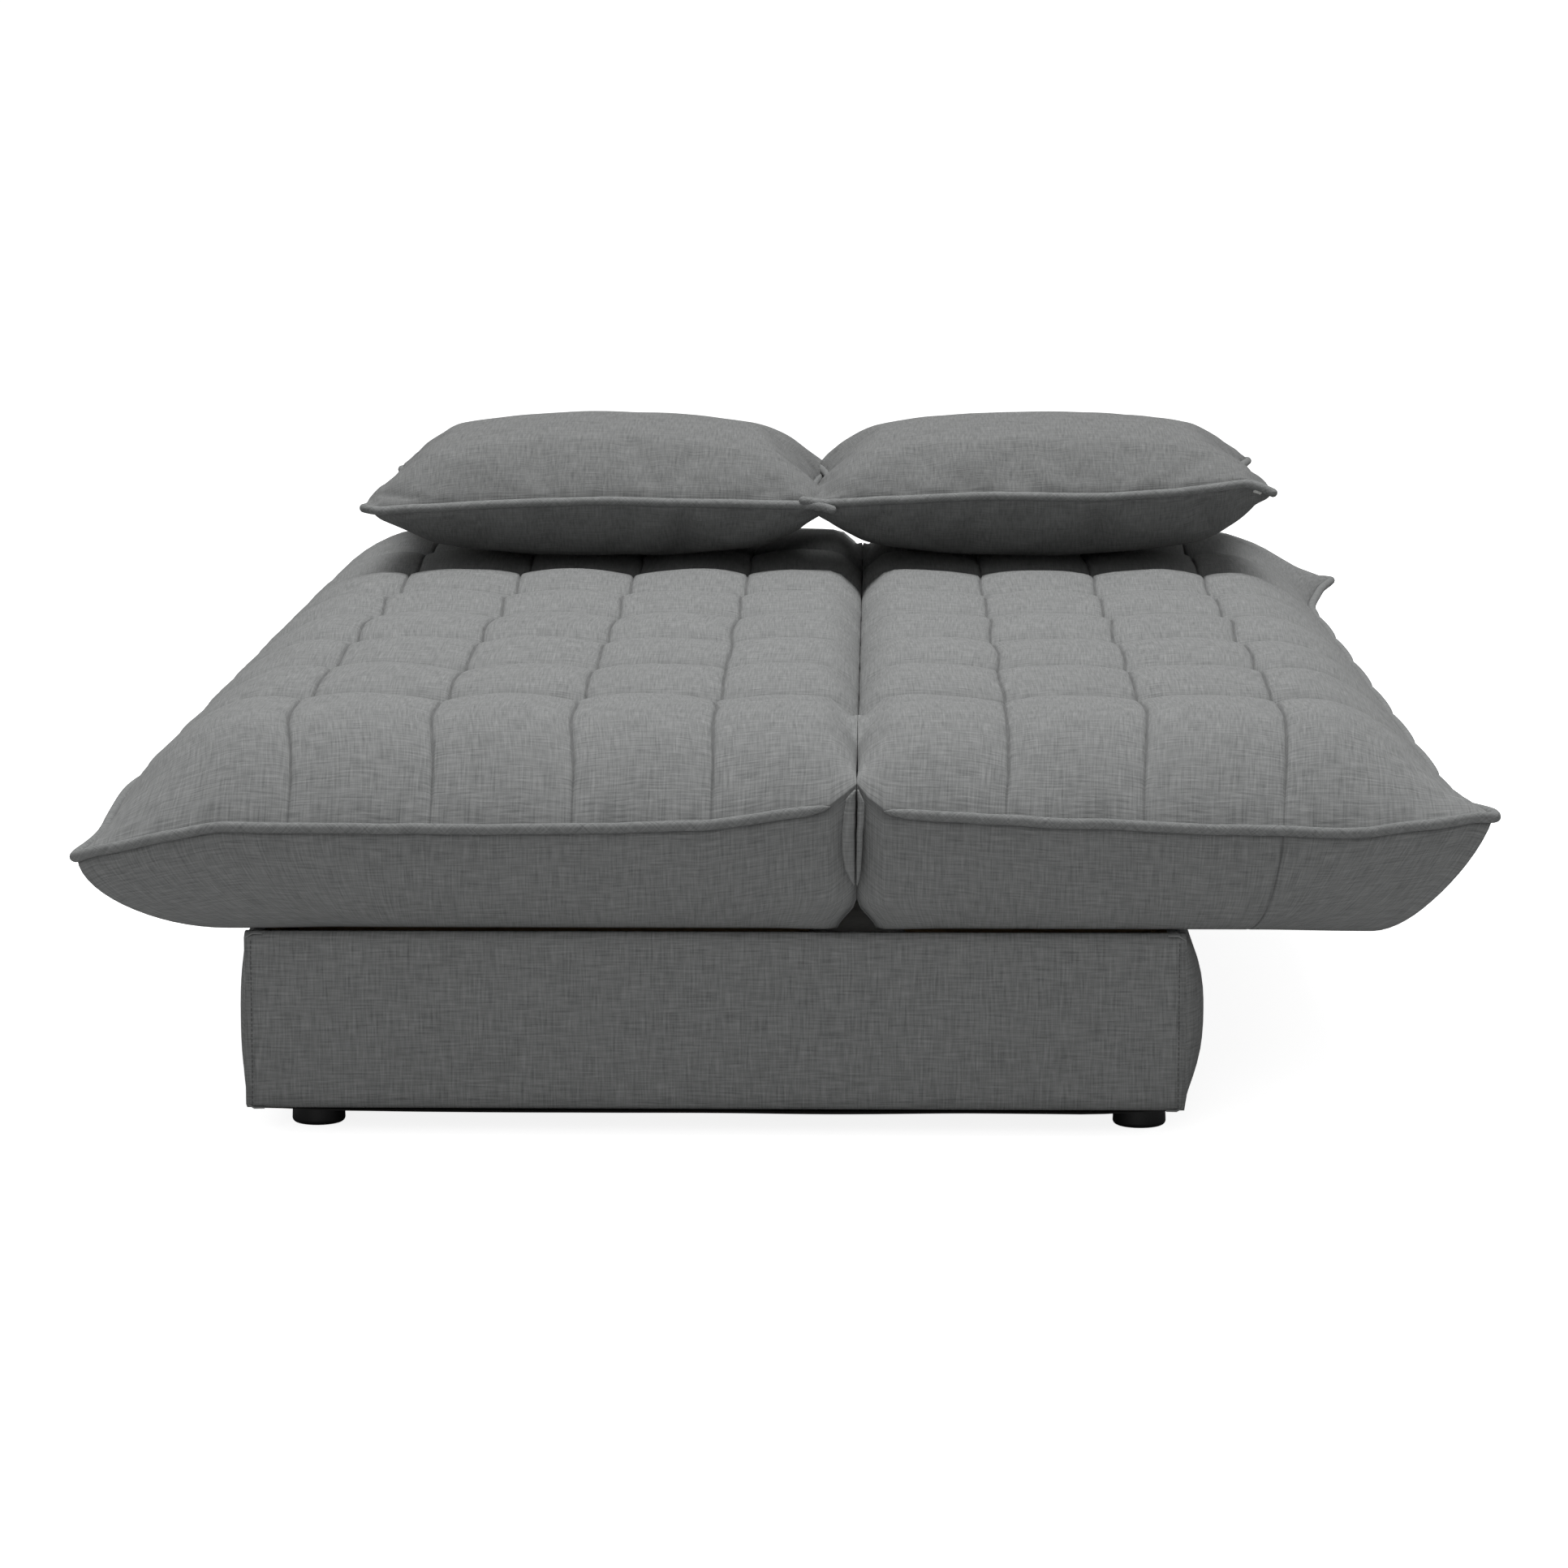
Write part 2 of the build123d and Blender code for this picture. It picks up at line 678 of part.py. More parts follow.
    # fold arms: the back's also carries the toothed rim that the pawl drops into
    elbow = (crease_x + side * arm_reach, tube_middle)
    arm_tip = (crease_x + side * (arm_reach + arm_foot), tube_middle)
    for end_name, end in ENDS:
        with BuildPart() as arm:
            with BuildSketch(layer_plane(layer, end)):
                slot_between(pivot, elbow, arm_width)
                slot_between(elbow, arm_tip, arm_width)
                if name == "back":
                    with BuildLine():
                        Line(polar(rim_radius - rim_web, rim_start), polar(rim_radius, rim_start))
                        rim_middle = (rim_start + rim_end) / 2
                        ThreePointArc(
                            polar(rim_radius, rim_start),
                            polar(rim_radius, rim_middle),
                            polar(rim_radius, rim_end),
                        )
                        Line(polar(rim_radius, rim_end), pivot)
                        Line(pivot, polar(rim_radius - rim_web, rim_start))
                    make_face()
                    for stop_angle in fold_stops:
                        with Locations(turned(nose_locked, pivot, -stop_angle)):
                            Circle(nose_radius + notch_spare, mode=Mode.SUBTRACT)
                with Locations(pivot):
                    Circle(bolt_radius + fit_clearance, mode=Mode.SUBTRACT)
                with Locations(*arm_bolt_spots):
                    Circle(small_bolt_radius + fit_clearance, mode=Mode.SUBTRACT)
            extrude(amount=arm_thickness)
        keep(arm, f"{name}_arm_{end_name}")

    with BuildPart() as arm_bolts:
        for _, end in ENDS:
            head = (layer[0] - small_head_height, layer[0])
            shank = (layer[0], layer[0] + small_bolt_grip)
            for bolt_layer, radius in ((head, small_head_radius), (shank, small_bolt_radius)):
                with BuildSketch(layer_plane(bolt_layer, end)):
                    with Locations(*arm_bolt_spots):
                        Circle(radius)
                extrude(amount=thickness(bolt_layer))
    keep(arm_bolts, f"{name}_arm_bolts")

# ---- loose cushions -------------------------------------------------------------------

cushion_bottom = crest_z + cushion_lift
cushion_piping_z = cushion_bottom + cushion_mid
cushion_y = -half_length + cushion_from_end + cushion_length / 2


def cushion_body(middle_x, inset):
    """A cushion's padded shape, shrunk by an inset: two arched sections and its outline."""
    lip = cushion_piping / 2
    low, high = cushion_bottom + inset, cushion_bottom + cushion_thickness - inset
    with BuildPart() as body:
        for plane, middle, size, mode in (
            (Plane.XZ.offset(-cushion_y), middle_x, cushion_width, Mode.ADD),
            (Plane.YZ.offset(middle_x), cushion_y, cushion_length, Mode.INTERSECT),
        ):
            reach = size / 2 - lip - inset
            left, right = middle - reach, middle + reach
            flat_left, flat_right = left + cushion_arch, right - cushion_arch
            aim_left, aim_right = left + cushion_shoulder, right - cushion_shoulder
            with BuildSketch(plane):
                with BuildLine():
                    top, bottom = cushion_piping_z + lip, cushion_piping_z - lip
                    Bezier((left, top), (aim_left, high), (flat_left, high))
                    Line((flat_left, high), (flat_right, high))
                    Bezier((flat_right, high), (aim_right, high), (right, top))
                    Line((right, top), (right, bottom))
                    Bezier((right, bottom), (aim_right, low), (flat_right, low))
                    Line((flat_right, low), (flat_left, low))
                    Bezier((flat_left, low), (aim_left, low), (left, bottom))
                    Line((left, bottom), (left, top))
                make_face()
            extrude(amount=max(cushion_width, cushion_length), both=True, mode=mode)
        with BuildSketch(Plane.XY.offset(cushion_bottom)):
            edge_inset = 2 * (cushion_piping + inset)
            with Locations((middle_x, cushion_y)):
                RectangleRounded(
                    cushion_width - edge_inset,
                    cushion_length - edge_inset,
                    piping_corner - lip - inset,
                )
        extrude(amount=cushion_thickness, mode=Mode.INTERSECT)
    return body


for cushion_name, side in SIDES:
    middle_x = crease_x + cushion_split + side * (cushion_gap + cushion_width) / 2
    with BuildPart() as cushion_trim:
        radius = cushion_piping / 2
        with BuildLine():
            half_w, half_l = cushion_width / 2 - radius, cushion_length / 2 - radius
            path = FilletPolyline(
                (middle_x - half_w, cushion_y - half_l),
                (middle_x + half_w, cushion_y - half_l),
                (middle_x + half_w, cushion_y + half_l),
                (middle_x - half_w, cushion_y + half_l),
                radius=piping_corner,
                close=True,
            )
        with BuildSketch(Plane(path @ 0, z_dir=path % 0)):
            Circle(radius)
        sweep()
    cushion_trim.part.locate(Location((0, 0, cushion_piping_z)))
    keep(cushion_trim, f"{cushion_name}_cushion_piping")

    with BuildPart() as cushion_fill:
        add(cushion_body(middle_x, cushion_cloth).part)
    keep(cushion_fill, f"{cushion_name}_cushion_fill")

    with BuildPart() as cushion_cover:
        add(cushion_body(middle_x, 0).part)
        add(cushion_fill.part, mode=Mode.SUBTRACT)
    keep(cushion_cover, f"{cushion_name}_cushion_cover")
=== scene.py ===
"""A click-clack sofa bed opened flat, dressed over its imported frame. Lengths are in metres."""

import json
import math

import bmesh
import bpy
import numpy as np
from mathutils import Matrix, Vector, noise


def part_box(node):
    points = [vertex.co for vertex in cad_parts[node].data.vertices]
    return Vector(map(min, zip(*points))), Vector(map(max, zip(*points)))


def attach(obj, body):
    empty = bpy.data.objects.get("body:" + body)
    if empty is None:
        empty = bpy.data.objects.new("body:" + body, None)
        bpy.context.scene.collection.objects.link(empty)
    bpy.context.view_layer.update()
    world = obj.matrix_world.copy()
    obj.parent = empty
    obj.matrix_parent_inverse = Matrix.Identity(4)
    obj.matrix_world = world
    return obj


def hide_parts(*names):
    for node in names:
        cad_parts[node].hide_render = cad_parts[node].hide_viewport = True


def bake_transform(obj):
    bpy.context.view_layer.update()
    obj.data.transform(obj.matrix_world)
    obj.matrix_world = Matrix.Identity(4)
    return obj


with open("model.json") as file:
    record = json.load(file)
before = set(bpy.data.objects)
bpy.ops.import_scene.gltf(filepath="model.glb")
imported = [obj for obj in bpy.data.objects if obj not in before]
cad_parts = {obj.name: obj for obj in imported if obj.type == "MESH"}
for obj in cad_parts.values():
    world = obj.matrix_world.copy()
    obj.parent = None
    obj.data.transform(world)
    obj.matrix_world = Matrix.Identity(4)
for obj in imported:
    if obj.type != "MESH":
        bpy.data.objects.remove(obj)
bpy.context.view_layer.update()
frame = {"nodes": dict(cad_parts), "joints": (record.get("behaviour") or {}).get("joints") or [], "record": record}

# ---- places and sizes, from the frame -------------------------------------------------

MM = 0.001
fold = next(j for j in frame["joints"] if j["name"] == "back_fold")
CREASE = fold["pos_m"][0]
PIVOT_Z = fold["pos_m"][2]
HALF_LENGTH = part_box("seat_piping")[1][1]
WIDTH = {"seat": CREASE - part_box("seat_piping")[0][0], "back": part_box("back_piping")[1][0] - CREASE}
SIDE = {"seat": -1, "back": 1}
PIPING_R = (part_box("seat_piping")[1][2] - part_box("seat_piping")[0][2]) / 2
PIPING_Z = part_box("seat_piping")[0][2] + PIPING_R
UNDER_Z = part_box("seat_cover")[0][2]
CREST_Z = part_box("seat_cover")[1][2]
CROWN = 32 * MM
SEAM_Z = CREST_Z - CROWN
CAVITY = {name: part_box(f"{name}_underside_cloth") for name in SIDE}
ARMS_Y = (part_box("base_bracket_far")[0][1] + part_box("pivot_bolts")[1][1]) / 2
HUB_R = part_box("pivot_washers")[1][2] - PIVOT_Z + 3.4 * MM
WEDGE = 0.85  # slope each half stays under beside the crease, so that the halves fold together

RIM = 1.85 * PIPING_R
ROW_PITCH = 220 * MM
ROW_SEAMS = [(n - 3) * ROW_PITCH for n in range(7)]
COLUMN_SEAMS = {"seat": [0, 0.128, 0.256, 0.384, 0.512], "back": [0, 0.134, 0.260, 0.386]}
END_GATHER = 0.03
CROWN_RUN = 165 * MM
UNDER_RUN = {"seat": (138 * MM, 0.85), "back": (105 * MM, 0.6)}
SIDE_BUMP = {"seat": 11 * MM, "back": 4 * MM}
EAR = {
    ("seat", -1): (11, -2, -6, 0.12), ("seat", 1): (6, 2, 0, 0.12),
    ("back", -1): (4, 2, 2, 0.12), ("back", 1): (32, -6, 0, 0.24),
}
END_RUN = 35 * MM
CREASE_ROUND = 15 * MM
CREASE_RUN = 28 * MM  # how far out the quilting takes to fill up
PANEL_SEAM = {"back": 0.386}
CREASE_GAP = 0.2 * MM
MOUTH = 17 * MM
MOUTH_HEIGHT = 30 * MM

# how far the piping rises over its mean height, at distances out from the crease
PIPING_RISE = {
    "seat": [(0.0, 0.040), (0.022, 0.021), (0.06, 0.014), (0.13, 0.004), (0.30, 0.0), (0.55, 0.001),
             (0.575, 0.003), (0.592, -0.002), (0.62, -0.006), (0.65, -0.012), (0.67, -0.018)],
    "back": [(0.0, 0.040), (0.018, 0.017), (0.06, 0.013), (0.17, 0.008), (0.30, 0.002), (0.41, 0.0),
             (0.455, -0.002), (0.485, 0.004), (0.515, 0.007), (0.532, 0.013), (0.55, 0.012)],
}


# ---- small helpers --------------------------------------------------------------------


def smooth(low, high, value):
    """0 up to low, 1 from high, and a smooth step between."""
    t = np.clip((np.asarray(value, float) - low) / (high - low), 0, 1)
    return t * t * (3 - 2 * t)


def wander(point, scale, seed=0.0):
    """Soft noise about 0 at a point, with features about scale metres across."""
    return noise.noise(Vector(point) / scale + Vector((seed, seed * 0.7, -seed)))


def mesh_piece(name, verts, faces, uvs=None, material=None, flat=False, seam=None):
    """A mesh object at the origin, with a UV map in metres, and its dark sewn lines and painted shade where given.
    """
    mesh = bpy.data.meshes.new(name)
    mesh.from_pydata([tuple(v) for v in verts], [], faces)
    if uvs is not None:
        layer = mesh.uv_layers.new(name="cloth")
        flat_uv = [c for face in uvs for corner in face for c in corner]
        layer.data.foreach_set("uv", flat_uv)
    # darkening per point: dark sewn lines, and painted shade where the cloth lies in shadow
    if seam is not None:
        mesh.attributes.new("seam", "FLOAT", "POINT").data.foreach_set("value", seam)
    mesh.validate()
    piece = bpy.data.objects.new(name, mesh)
    bpy.context.scene.collection.objects.link(piece)
    if material:
        mesh.materials.append(material)
    if not flat:
        mesh.shade_smooth()
    return piece


def tube(name, points, radii, material, closed=False, sides=12):
    """A round tube through points, with a UV map that runs along it."""
    pts = [Vector(p) for p in points]
    count = len(pts)
    verts, rings = [], []
    up = Vector((0, 0, 1))
    length = 0.0
    lengths = []
    for i, p in enumerate(pts):
        before = pts[i - 1] if (i or closed) else p
        after = pts[(i + 1) % count] if (i + 1 < count or closed) else p
        way = (after - before).normalized()
        out = way.cross(up).normalized()
        over = out.cross(way)
        if i:
            length += (p - pts[i - 1]).length
        lengths.append(length)
        radius = radii[i] if isinstance(radii, (list, tuple)) else radii
        ring = []
        for k in range(sides):
            a = 2 * math.pi * k / sides
            ring.append(len(verts))
            verts.append(p + (out * math.cos(a) + over * math.sin(a)) * radius)
        rings.append(ring)
    faces, uvs = [], []
    spans = count if closed else count - 1
    round_length = 2 * math.pi * (radii if not isinstance(radii, (list, tuple)) else max(radii))
    for i in range(spans):
        a, b = rings[i], rings[(i + 1) % count]
        la = lengths[i]
        lb = lengths[i + 1] if i + 1 < count else length + (pts[0] - pts[-1]).length
        for k in range(sides):
            k2 = (k + 1) % sides
            faces.append((a[k], a[k2], b[k2], b[k]))
            v0, v1 = k / sides * round_length, (k + 1) / sides * round_length
            uvs.append(((la, v0), (la, v1), (lb, v1), (lb, v0)))
    if not closed:
        for ring, flip in ((rings[0], True), (rings[-1], False)):
            loop = list(reversed(ring)) if flip else ring
            faces.append(tuple(loop))
            uvs.append(tuple((0, 0) for _ in loop))
    piece = mesh_piece(name, verts, faces, uvs, material)
    tidy_normals(piece)
    return piece


def tidy_normals(piece):
    """Point every face of a closed piece outwards."""
    bm = bmesh.new()
    bm.from_mesh(piece.data)
    bmesh.ops.recalc_face_normals(bm, faces=bm.faces)
    bm.to_mesh(piece.data)
    bm.free()


# ---- materials ------------------------------------------------------------------------


def new_group(name, inputs, outputs):
    """A shader node group with its sockets, and its input and output nodes."""
    group = bpy.data.node_groups.new(name, "ShaderNodeTree")
    for socket, kind, default in inputs:
        made = group.interface.new_socket(name=socket, in_out="INPUT", socket_type=kind)
        if default is not None:
            made.default_value = default
    for socket, kind in outputs:
        group.interface.new_socket(name=socket, in_out="OUTPUT", socket_type=kind)
    return group, group.nodes.new("NodeGroupInput"), group.nodes.new("NodeGroupOutput")


def maths(tree, operation, a, b=None, c=None):
    """A Math node; each input is a socket or a number."""
    node = tree.nodes.new("ShaderNodeMath")
    node.operation = operation
    for i, value in enumerate((a, b, c)):
        if value is None:
            continue
        if isinstance(value, (int, float)):
            node.inputs[i].default_value = value
        else:
            tree.links.new(value, node.inputs[i])
    return node.outputs[0]


def noise_node(tree, vector, scale, detail=2.0, rough=0.5, stretch=(1, 1, 1), offset=0.0):
    """Noise read from a vector that is stretched first."""
    mapping = tree.nodes.new("ShaderNodeMapping")
    mapping.inputs["Scale"].default_value = stretch
    mapping.inputs["Location"].default_value = (offset, offset * 0.37, 0)
    tree.links.new(vector, mapping.inputs["Vector"])
    made = tree.nodes.new("ShaderNodeTexNoise")
    made.inputs["Scale"].default_value = scale
    made.inputs["Detail"].default_value = detail
    made.inputs["Roughness"].default_value = rough
    tree.links.new(mapping.outputs["Vector"], made.inputs["Vector"])
    return made.outputs["Fac"]


def slub_weave_group():
    """Plain weave with uneven threads: a tone from 0 to 1 and a height, from a vector in metres."""
    group, gin, gout = new_group(
        "slub_weave",
        [("Vector", "NodeSocketVector", None), ("Slub", "NodeSocketFloat", 1.0)],
        [("Tone", "NodeSocketFloat"), ("Height", "NodeSocketFloat")],
    )
    vector = gin.outputs["Vector"]
    # fine threads each way, broken up along their length
    along = noise_node(group, vector, 1.0, 2.0, 0.6, (48, 720, 1))
    down = noise_node(group, vector, 1.0, 2.0, 0.6, (720, 48, 1), 7.0)
    # slubs: longer, thicker, rarer streaks
    slub_along = noise_node(group, vector, 1.0, 1.0, 0.5, (34, 520, 1), 3.0)
    slub_down = noise_node(group, vector, 1.0, 1.0, 0.5, (520, 34, 1), 11.0)
    slub_a = maths(group, "SMOOTH_MIN", maths(group, "SUBTRACT", slub_along, 0.5), 0.25, 0.1)
    slub_d = maths(group, "SMOOTH_MIN", maths(group, "SUBTRACT", slub_down, 0.5), 0.25, 0.1)
    blotch = noise_node(group, vector, 9.0, 3.0, 0.55, (1, 1, 1), 5.0)
    fine = maths(group, "ADD", maths(group, "SUBTRACT", along, 0.5), maths(group, "SUBTRACT", down, 0.5))
    slubs = maths(group, "MULTIPLY", maths(group, "ADD", slub_a, slub_d), gin.outputs["Slub"])
    tone = maths(group, "MULTIPLY_ADD", fine, 1.15, 0.5)
    tone = maths(group, "MULTIPLY_ADD", slubs, 0.75, tone)
    tone = maths(group, "MULTIPLY_ADD", maths(group, "SUBTRACT", blotch, 0.5), 0.14, tone)
    group.links.new(tone, gout.inputs["Tone"])
    group.links.new(maths(group, "MULTIPLY_ADD", slubs, 0.8, fine), gout.inputs["Height"])
    return group


def mottle_group():
    """Soft uneven tone about 0.5 from a vector, at a scale."""
    group, gin, gout = new_group(
        "mottle",
        [("Vector", "NodeSocketVector", None), ("Scale", "NodeSocketFloat", 8.0)],
        [("Tone", "NodeSocketFloat")],
    )
    made = group.nodes.new("ShaderNodeTexNoise")
    made.inputs["Detail"].default_value = 4.0
    group.links.new(gin.outputs["Vector"], made.inputs["Vector"])
    group.links.new(gin.outputs["Scale"], made.inputs["Scale"])
    group.links.new(made.outputs["Fac"], gout.inputs["Tone"])
    return group


SLUB_WEAVE = slub_weave_group()
MOTTLE = mottle_group()


def new_material(name, rough, sheen=0.0, metallic=0.0, coat=0.0):
    """A material with its principled shader; plain numbers sit on the shader's own sockets."""
    material = bpy.data.materials.new(name)
    material.use_nodes = True
    shader = material.node_tree.nodes["Principled BSDF"]
    shader.inputs["Roughness"].default_value = rough
    shader.inputs["Metallic"].default_value = metallic
    shader.inputs["Sheen Weight"].default_value = sheen
    shader.inputs["Sheen Roughness"].default_value = 0.45
    shader.inputs["Coat Weight"].default_value = coat
    return material, material.node_tree, shader


def mix_colour(tree, factor, dark, light):
    """A colour between two, by a factor socket."""
    mix = tree.nodes.new("ShaderNodeMix")
    mix.data_type = "RGBA"
    mix.inputs["A"].default_value = (*dark, 1)
    mix.inputs["B"].default_value = (*light, 1)
    tree.links.new(factor, mix.inputs["Factor"])
    return mix.outputs["Result"]


def bump(tree, shader, height, distance, strength=1.0):
    """Bump from a height socket onto the shader's normal."""
    node = tree.nodes.new("ShaderNodeBump")
    node.inputs["Distance"].default_value = distance
    node.inputs["Strength"].default_value = strength
    tree.links.new(height, node.inputs["Height"])
    tree.links.new(node.outputs["Normal"], shader.inputs["Normal"])


def cloth_material(name, dark, light, slub=1.0, turn=0.0):
    """Grey slub-weave cloth that follows the piece's own map, darkened where the mesh marks dark sewn lines and
    painted shade.
    """
    material, tree, shader = new_material(name, 0.95, sheen=0.08)
    shader.inputs["Specular IOR Level"].default_value = 0.15
    uv = tree.nodes.new("ShaderNodeUVMap")
    uv.uv_map = "cloth"
    mapping = tree.nodes.new("ShaderNodeMapping")
    mapping.inputs["Rotation"].default_value = (0, 0, turn)
    tree.links.new(uv.outputs["UV"], mapping.inputs["Vector"])
    weave = tree.nodes.new("ShaderNodeGroup")
    weave.node_tree = SLUB_WEAVE
    weave.inputs["Slub"].default_value = slub
    tree.links.new(mapping.outputs["Vector"], weave.inputs["Vector"])
    # a mesh attribute darkens the cloth towards a deep tone: dark sewn lines, and painted shade down in the
    # quilting's cross valleys
    sewn = tree.nodes.new("ShaderNodeAttribute")
    sewn.attribute_name = "seam"
    deep = tuple(c * 0.25 for c in dark)
    worn = mix_colour(tree, weave.outputs["Tone"], dark, light)
    seam_and_shade_colour = tree.nodes.new("ShaderNodeMix")
    seam_and_shade_colour.data_type = "RGBA"
    seam_and_shade_colour.inputs["B"].default_value = (*deep, 1)
    tree.links.new(worn, seam_and_shade_colour.inputs["A"])
    tree.links.new(sewn.outputs["Fac"], seam_and_shade_colour.inputs["Factor"])
    tree.links.new(seam_and_shade_colour.outputs["Result"], shader.inputs["Base Color"])
    bump(tree, shader, weave.outputs["Height"], 0.0006, 0.6)
    return material


def grained_material(name, dark, light, rough, stretch, scale, depth, metallic=0.0, coat=0.0):
    """Wood, plastic or metal whose tone, roughness and bump follow stretched noise."""
    material, tree, shader = new_material(name, rough, metallic=metallic, coat=coat)
    place = tree.nodes.new("ShaderNodeTexCoord").outputs["Object"]
    grain = noise_node(tree, place, scale, 5.0, 0.6, stretch)
    mottle = tree.nodes.new("ShaderNodeGroup")
    mottle.node_tree = MOTTLE
    mottle.inputs["Scale"].default_value = 14.0
    tree.links.new(place, mottle.inputs["Vector"])
    tone = maths(tree, "MULTIPLY_ADD", maths(tree, "SUBTRACT", mottle.outputs["Tone"], 0.5), 0.6, grain)
    tree.links.new(mix_colour(tree, tone, dark, light), shader.inputs["Base Color"])
    tree.links.new(maths(tree, "MULTIPLY_ADD", grain, 0.2, rough - 0.1), shader.inputs["Roughness"])
    bump(tree, shader, grain, depth, 0.5)
    return material


CLOTH_DARK, CLOTH_LIGHT = (0.135, 0.139, 0.138), (0.262, 0.266, 0.264)
quilt_cloth = cloth_material("quilt_cloth", CLOTH_DARK, CLOTH_LIGHT)
base_cloth = cloth_material("base_cloth", CLOTH_DARK, CLOTH_LIGHT, 1.15)
# the cushions take the quilt cloth made about a fifth darker: painted shade that holds their tone down
cushion_cloth = cloth_material("cushion_cloth", (0.108, 0.111, 0.110), (0.210, 0.213, 0.211))
piping_cloth = cloth_material("piping_cloth", (0.125, 0.129, 0.128), (0.25, 0.255, 0.253), 0.7,
    math.radians(45))
black_cloth = grained_material("black_cloth", (0.004, 0.004, 0.004), (0.014, 0.014, 0.014), 0.9,
    (1, 1, 1), 900, 0.0003)
pine_board = grained_material("pine_board", (0.42, 0.27, 0.13), (0.66, 0.48, 0.28), 0.6,
    (14, 1.2, 14), 6, 0.0002)
hardboard = grained_material("hardboard", (0.20, 0.115, 0.06), (0.33, 0.21, 0.12), 0.7, (1, 1, 1),
    260, 0.0002)
beech_slat = grained_material("beech_slat", (0.52, 0.34, 0.18), (0.72, 0.53, 0.33), 0.42,
    (1.5, 26, 26), 5, 0.0001, coat=0.3)
black_plastic = grained_material("black_plastic", (0.006, 0.006, 0.006), (0.016, 0.016, 0.017),
    0.45, (1, 1, 1), 700, 0.00008)
frame_steel = grained_material("frame_steel", (0.012, 0.012, 0.013), (0.035, 0.035, 0.037), 0.5,
    (1, 1, 1), 500, 0.0001, metallic=0.3)
fitting_steel = grained_material("fitting_steel", (0.36, 0.36, 0.35), (0.58, 0.58, 0.56), 0.38,
    (3, 3, 40), 40, 0.00005, metallic=1.0)
spring_steel = grained_material("spring_steel", (0.2, 0.2, 0.21), (0.4, 0.4, 0.42), 0.32,
    (3, 3, 30), 60, 0.00004, metallic=1.0)
zinc = grained_material("zinc", (0.5, 0.5, 0.5), (0.68, 0.68, 0.67), 0.35, (1, 1, 1), 90, 0.00004,
    metallic=1.0)
foam = grained_material("foam", (0.62, 0.56, 0.36), (0.82, 0.77, 0.56), 0.95, (1, 1, 1), 420, 0.0008)
thread_cloth = grained_material("thread", (0.06, 0.062, 0.062), (0.12, 0.122, 0.12), 0.8, (1, 1, 1),
    800, 0.0001)
fibre = grained_material("fibre", (0.70, 0.70, 0.68), (0.88, 0.88, 0.86), 0.95, (1, 1, 1), 160, 0.001)
FINISH = {
    "quilted_cloth": quilt_cloth, "cushion_cloth": cushion_cloth, "base_cloth": base_cloth,
    "piping_cloth": piping_cloth, "black_cloth": black_cloth, "foam": foam, "pine_board": pine_board,
    "hardboard": hardboard, "beech_slat": beech_slat, "black_plastic": black_plastic,
    "frame_steel": frame_steel, "fitting_steel": fitting_steel, "spring_steel": spring_steel,
    "zinc_fastener": zinc,
}
for part in frame["record"]["subparts"]:
    node = frame["nodes"][part["node"]]
    node.data.materials.clear()
    node.data.materials.append(FINISH[part["material_slot"]])


# ---- quilted halves -------------------------------------------------------------------


def spaced(lines, fine, steps):
    """Grid values between lines, packed closely beside each one."""
    values = []
    for a, b in zip(lines[:-1], lines[1:]):
        reach = b - a
        beside = [a + f for f in fine] + [b - f for f in fine]
        between = [a + reach * n / steps for n in range(1, steps)]
        inner = [v for v in between if a + fine[-1] * 1.3 < v < b - fine[-1] * 1.3]
        values += [a] + sorted(beside + inner)
    return np.array(values + [lines[-1]])


def bulge(value, lines, outer, sharp=2.0):
    """0 on each sewn line and 1 between two of them, rounding off quickly beside each line."""
    value = np.asarray(value, float)
    out = np.ones_like(value)
    for a, b in zip(lines[:-1], lines[1:]):
        f = np.clip((value - a) / (b - a), 0, 1)
        out = np.where((value >= a) & (value <= b), (4 * f * (1 - f)) ** (1 / sharp), out)
    for edge, way in ((lines[0], -1), (lines[-1], 1)):
        past = (value - edge) * way
        f = np.clip(past / (2 * outer), 0, 0.5)
        out = np.where(past > 0, (4 * f * (1 - f)) ** (1 / sharp), out)
    return out


def piping_rise(name, u):
    """How far the piping stands over its mean height, at a distance out from the crease."""
    us, rises = zip(*PIPING_RISE[name])
    return np.interp(u, us, rises)


def edge_rise(distance, run):
    """The top's rise from the piping, 0 to 1 over the run, steep at first."""
    t = np.clip(distance / run, 0, 1)
    return 1 - (1 - t) ** 2.55


def groove(distance, depth, width):
    """A narrow sewn groove."""
    return -depth * np.exp(-((distance / width) ** 2))


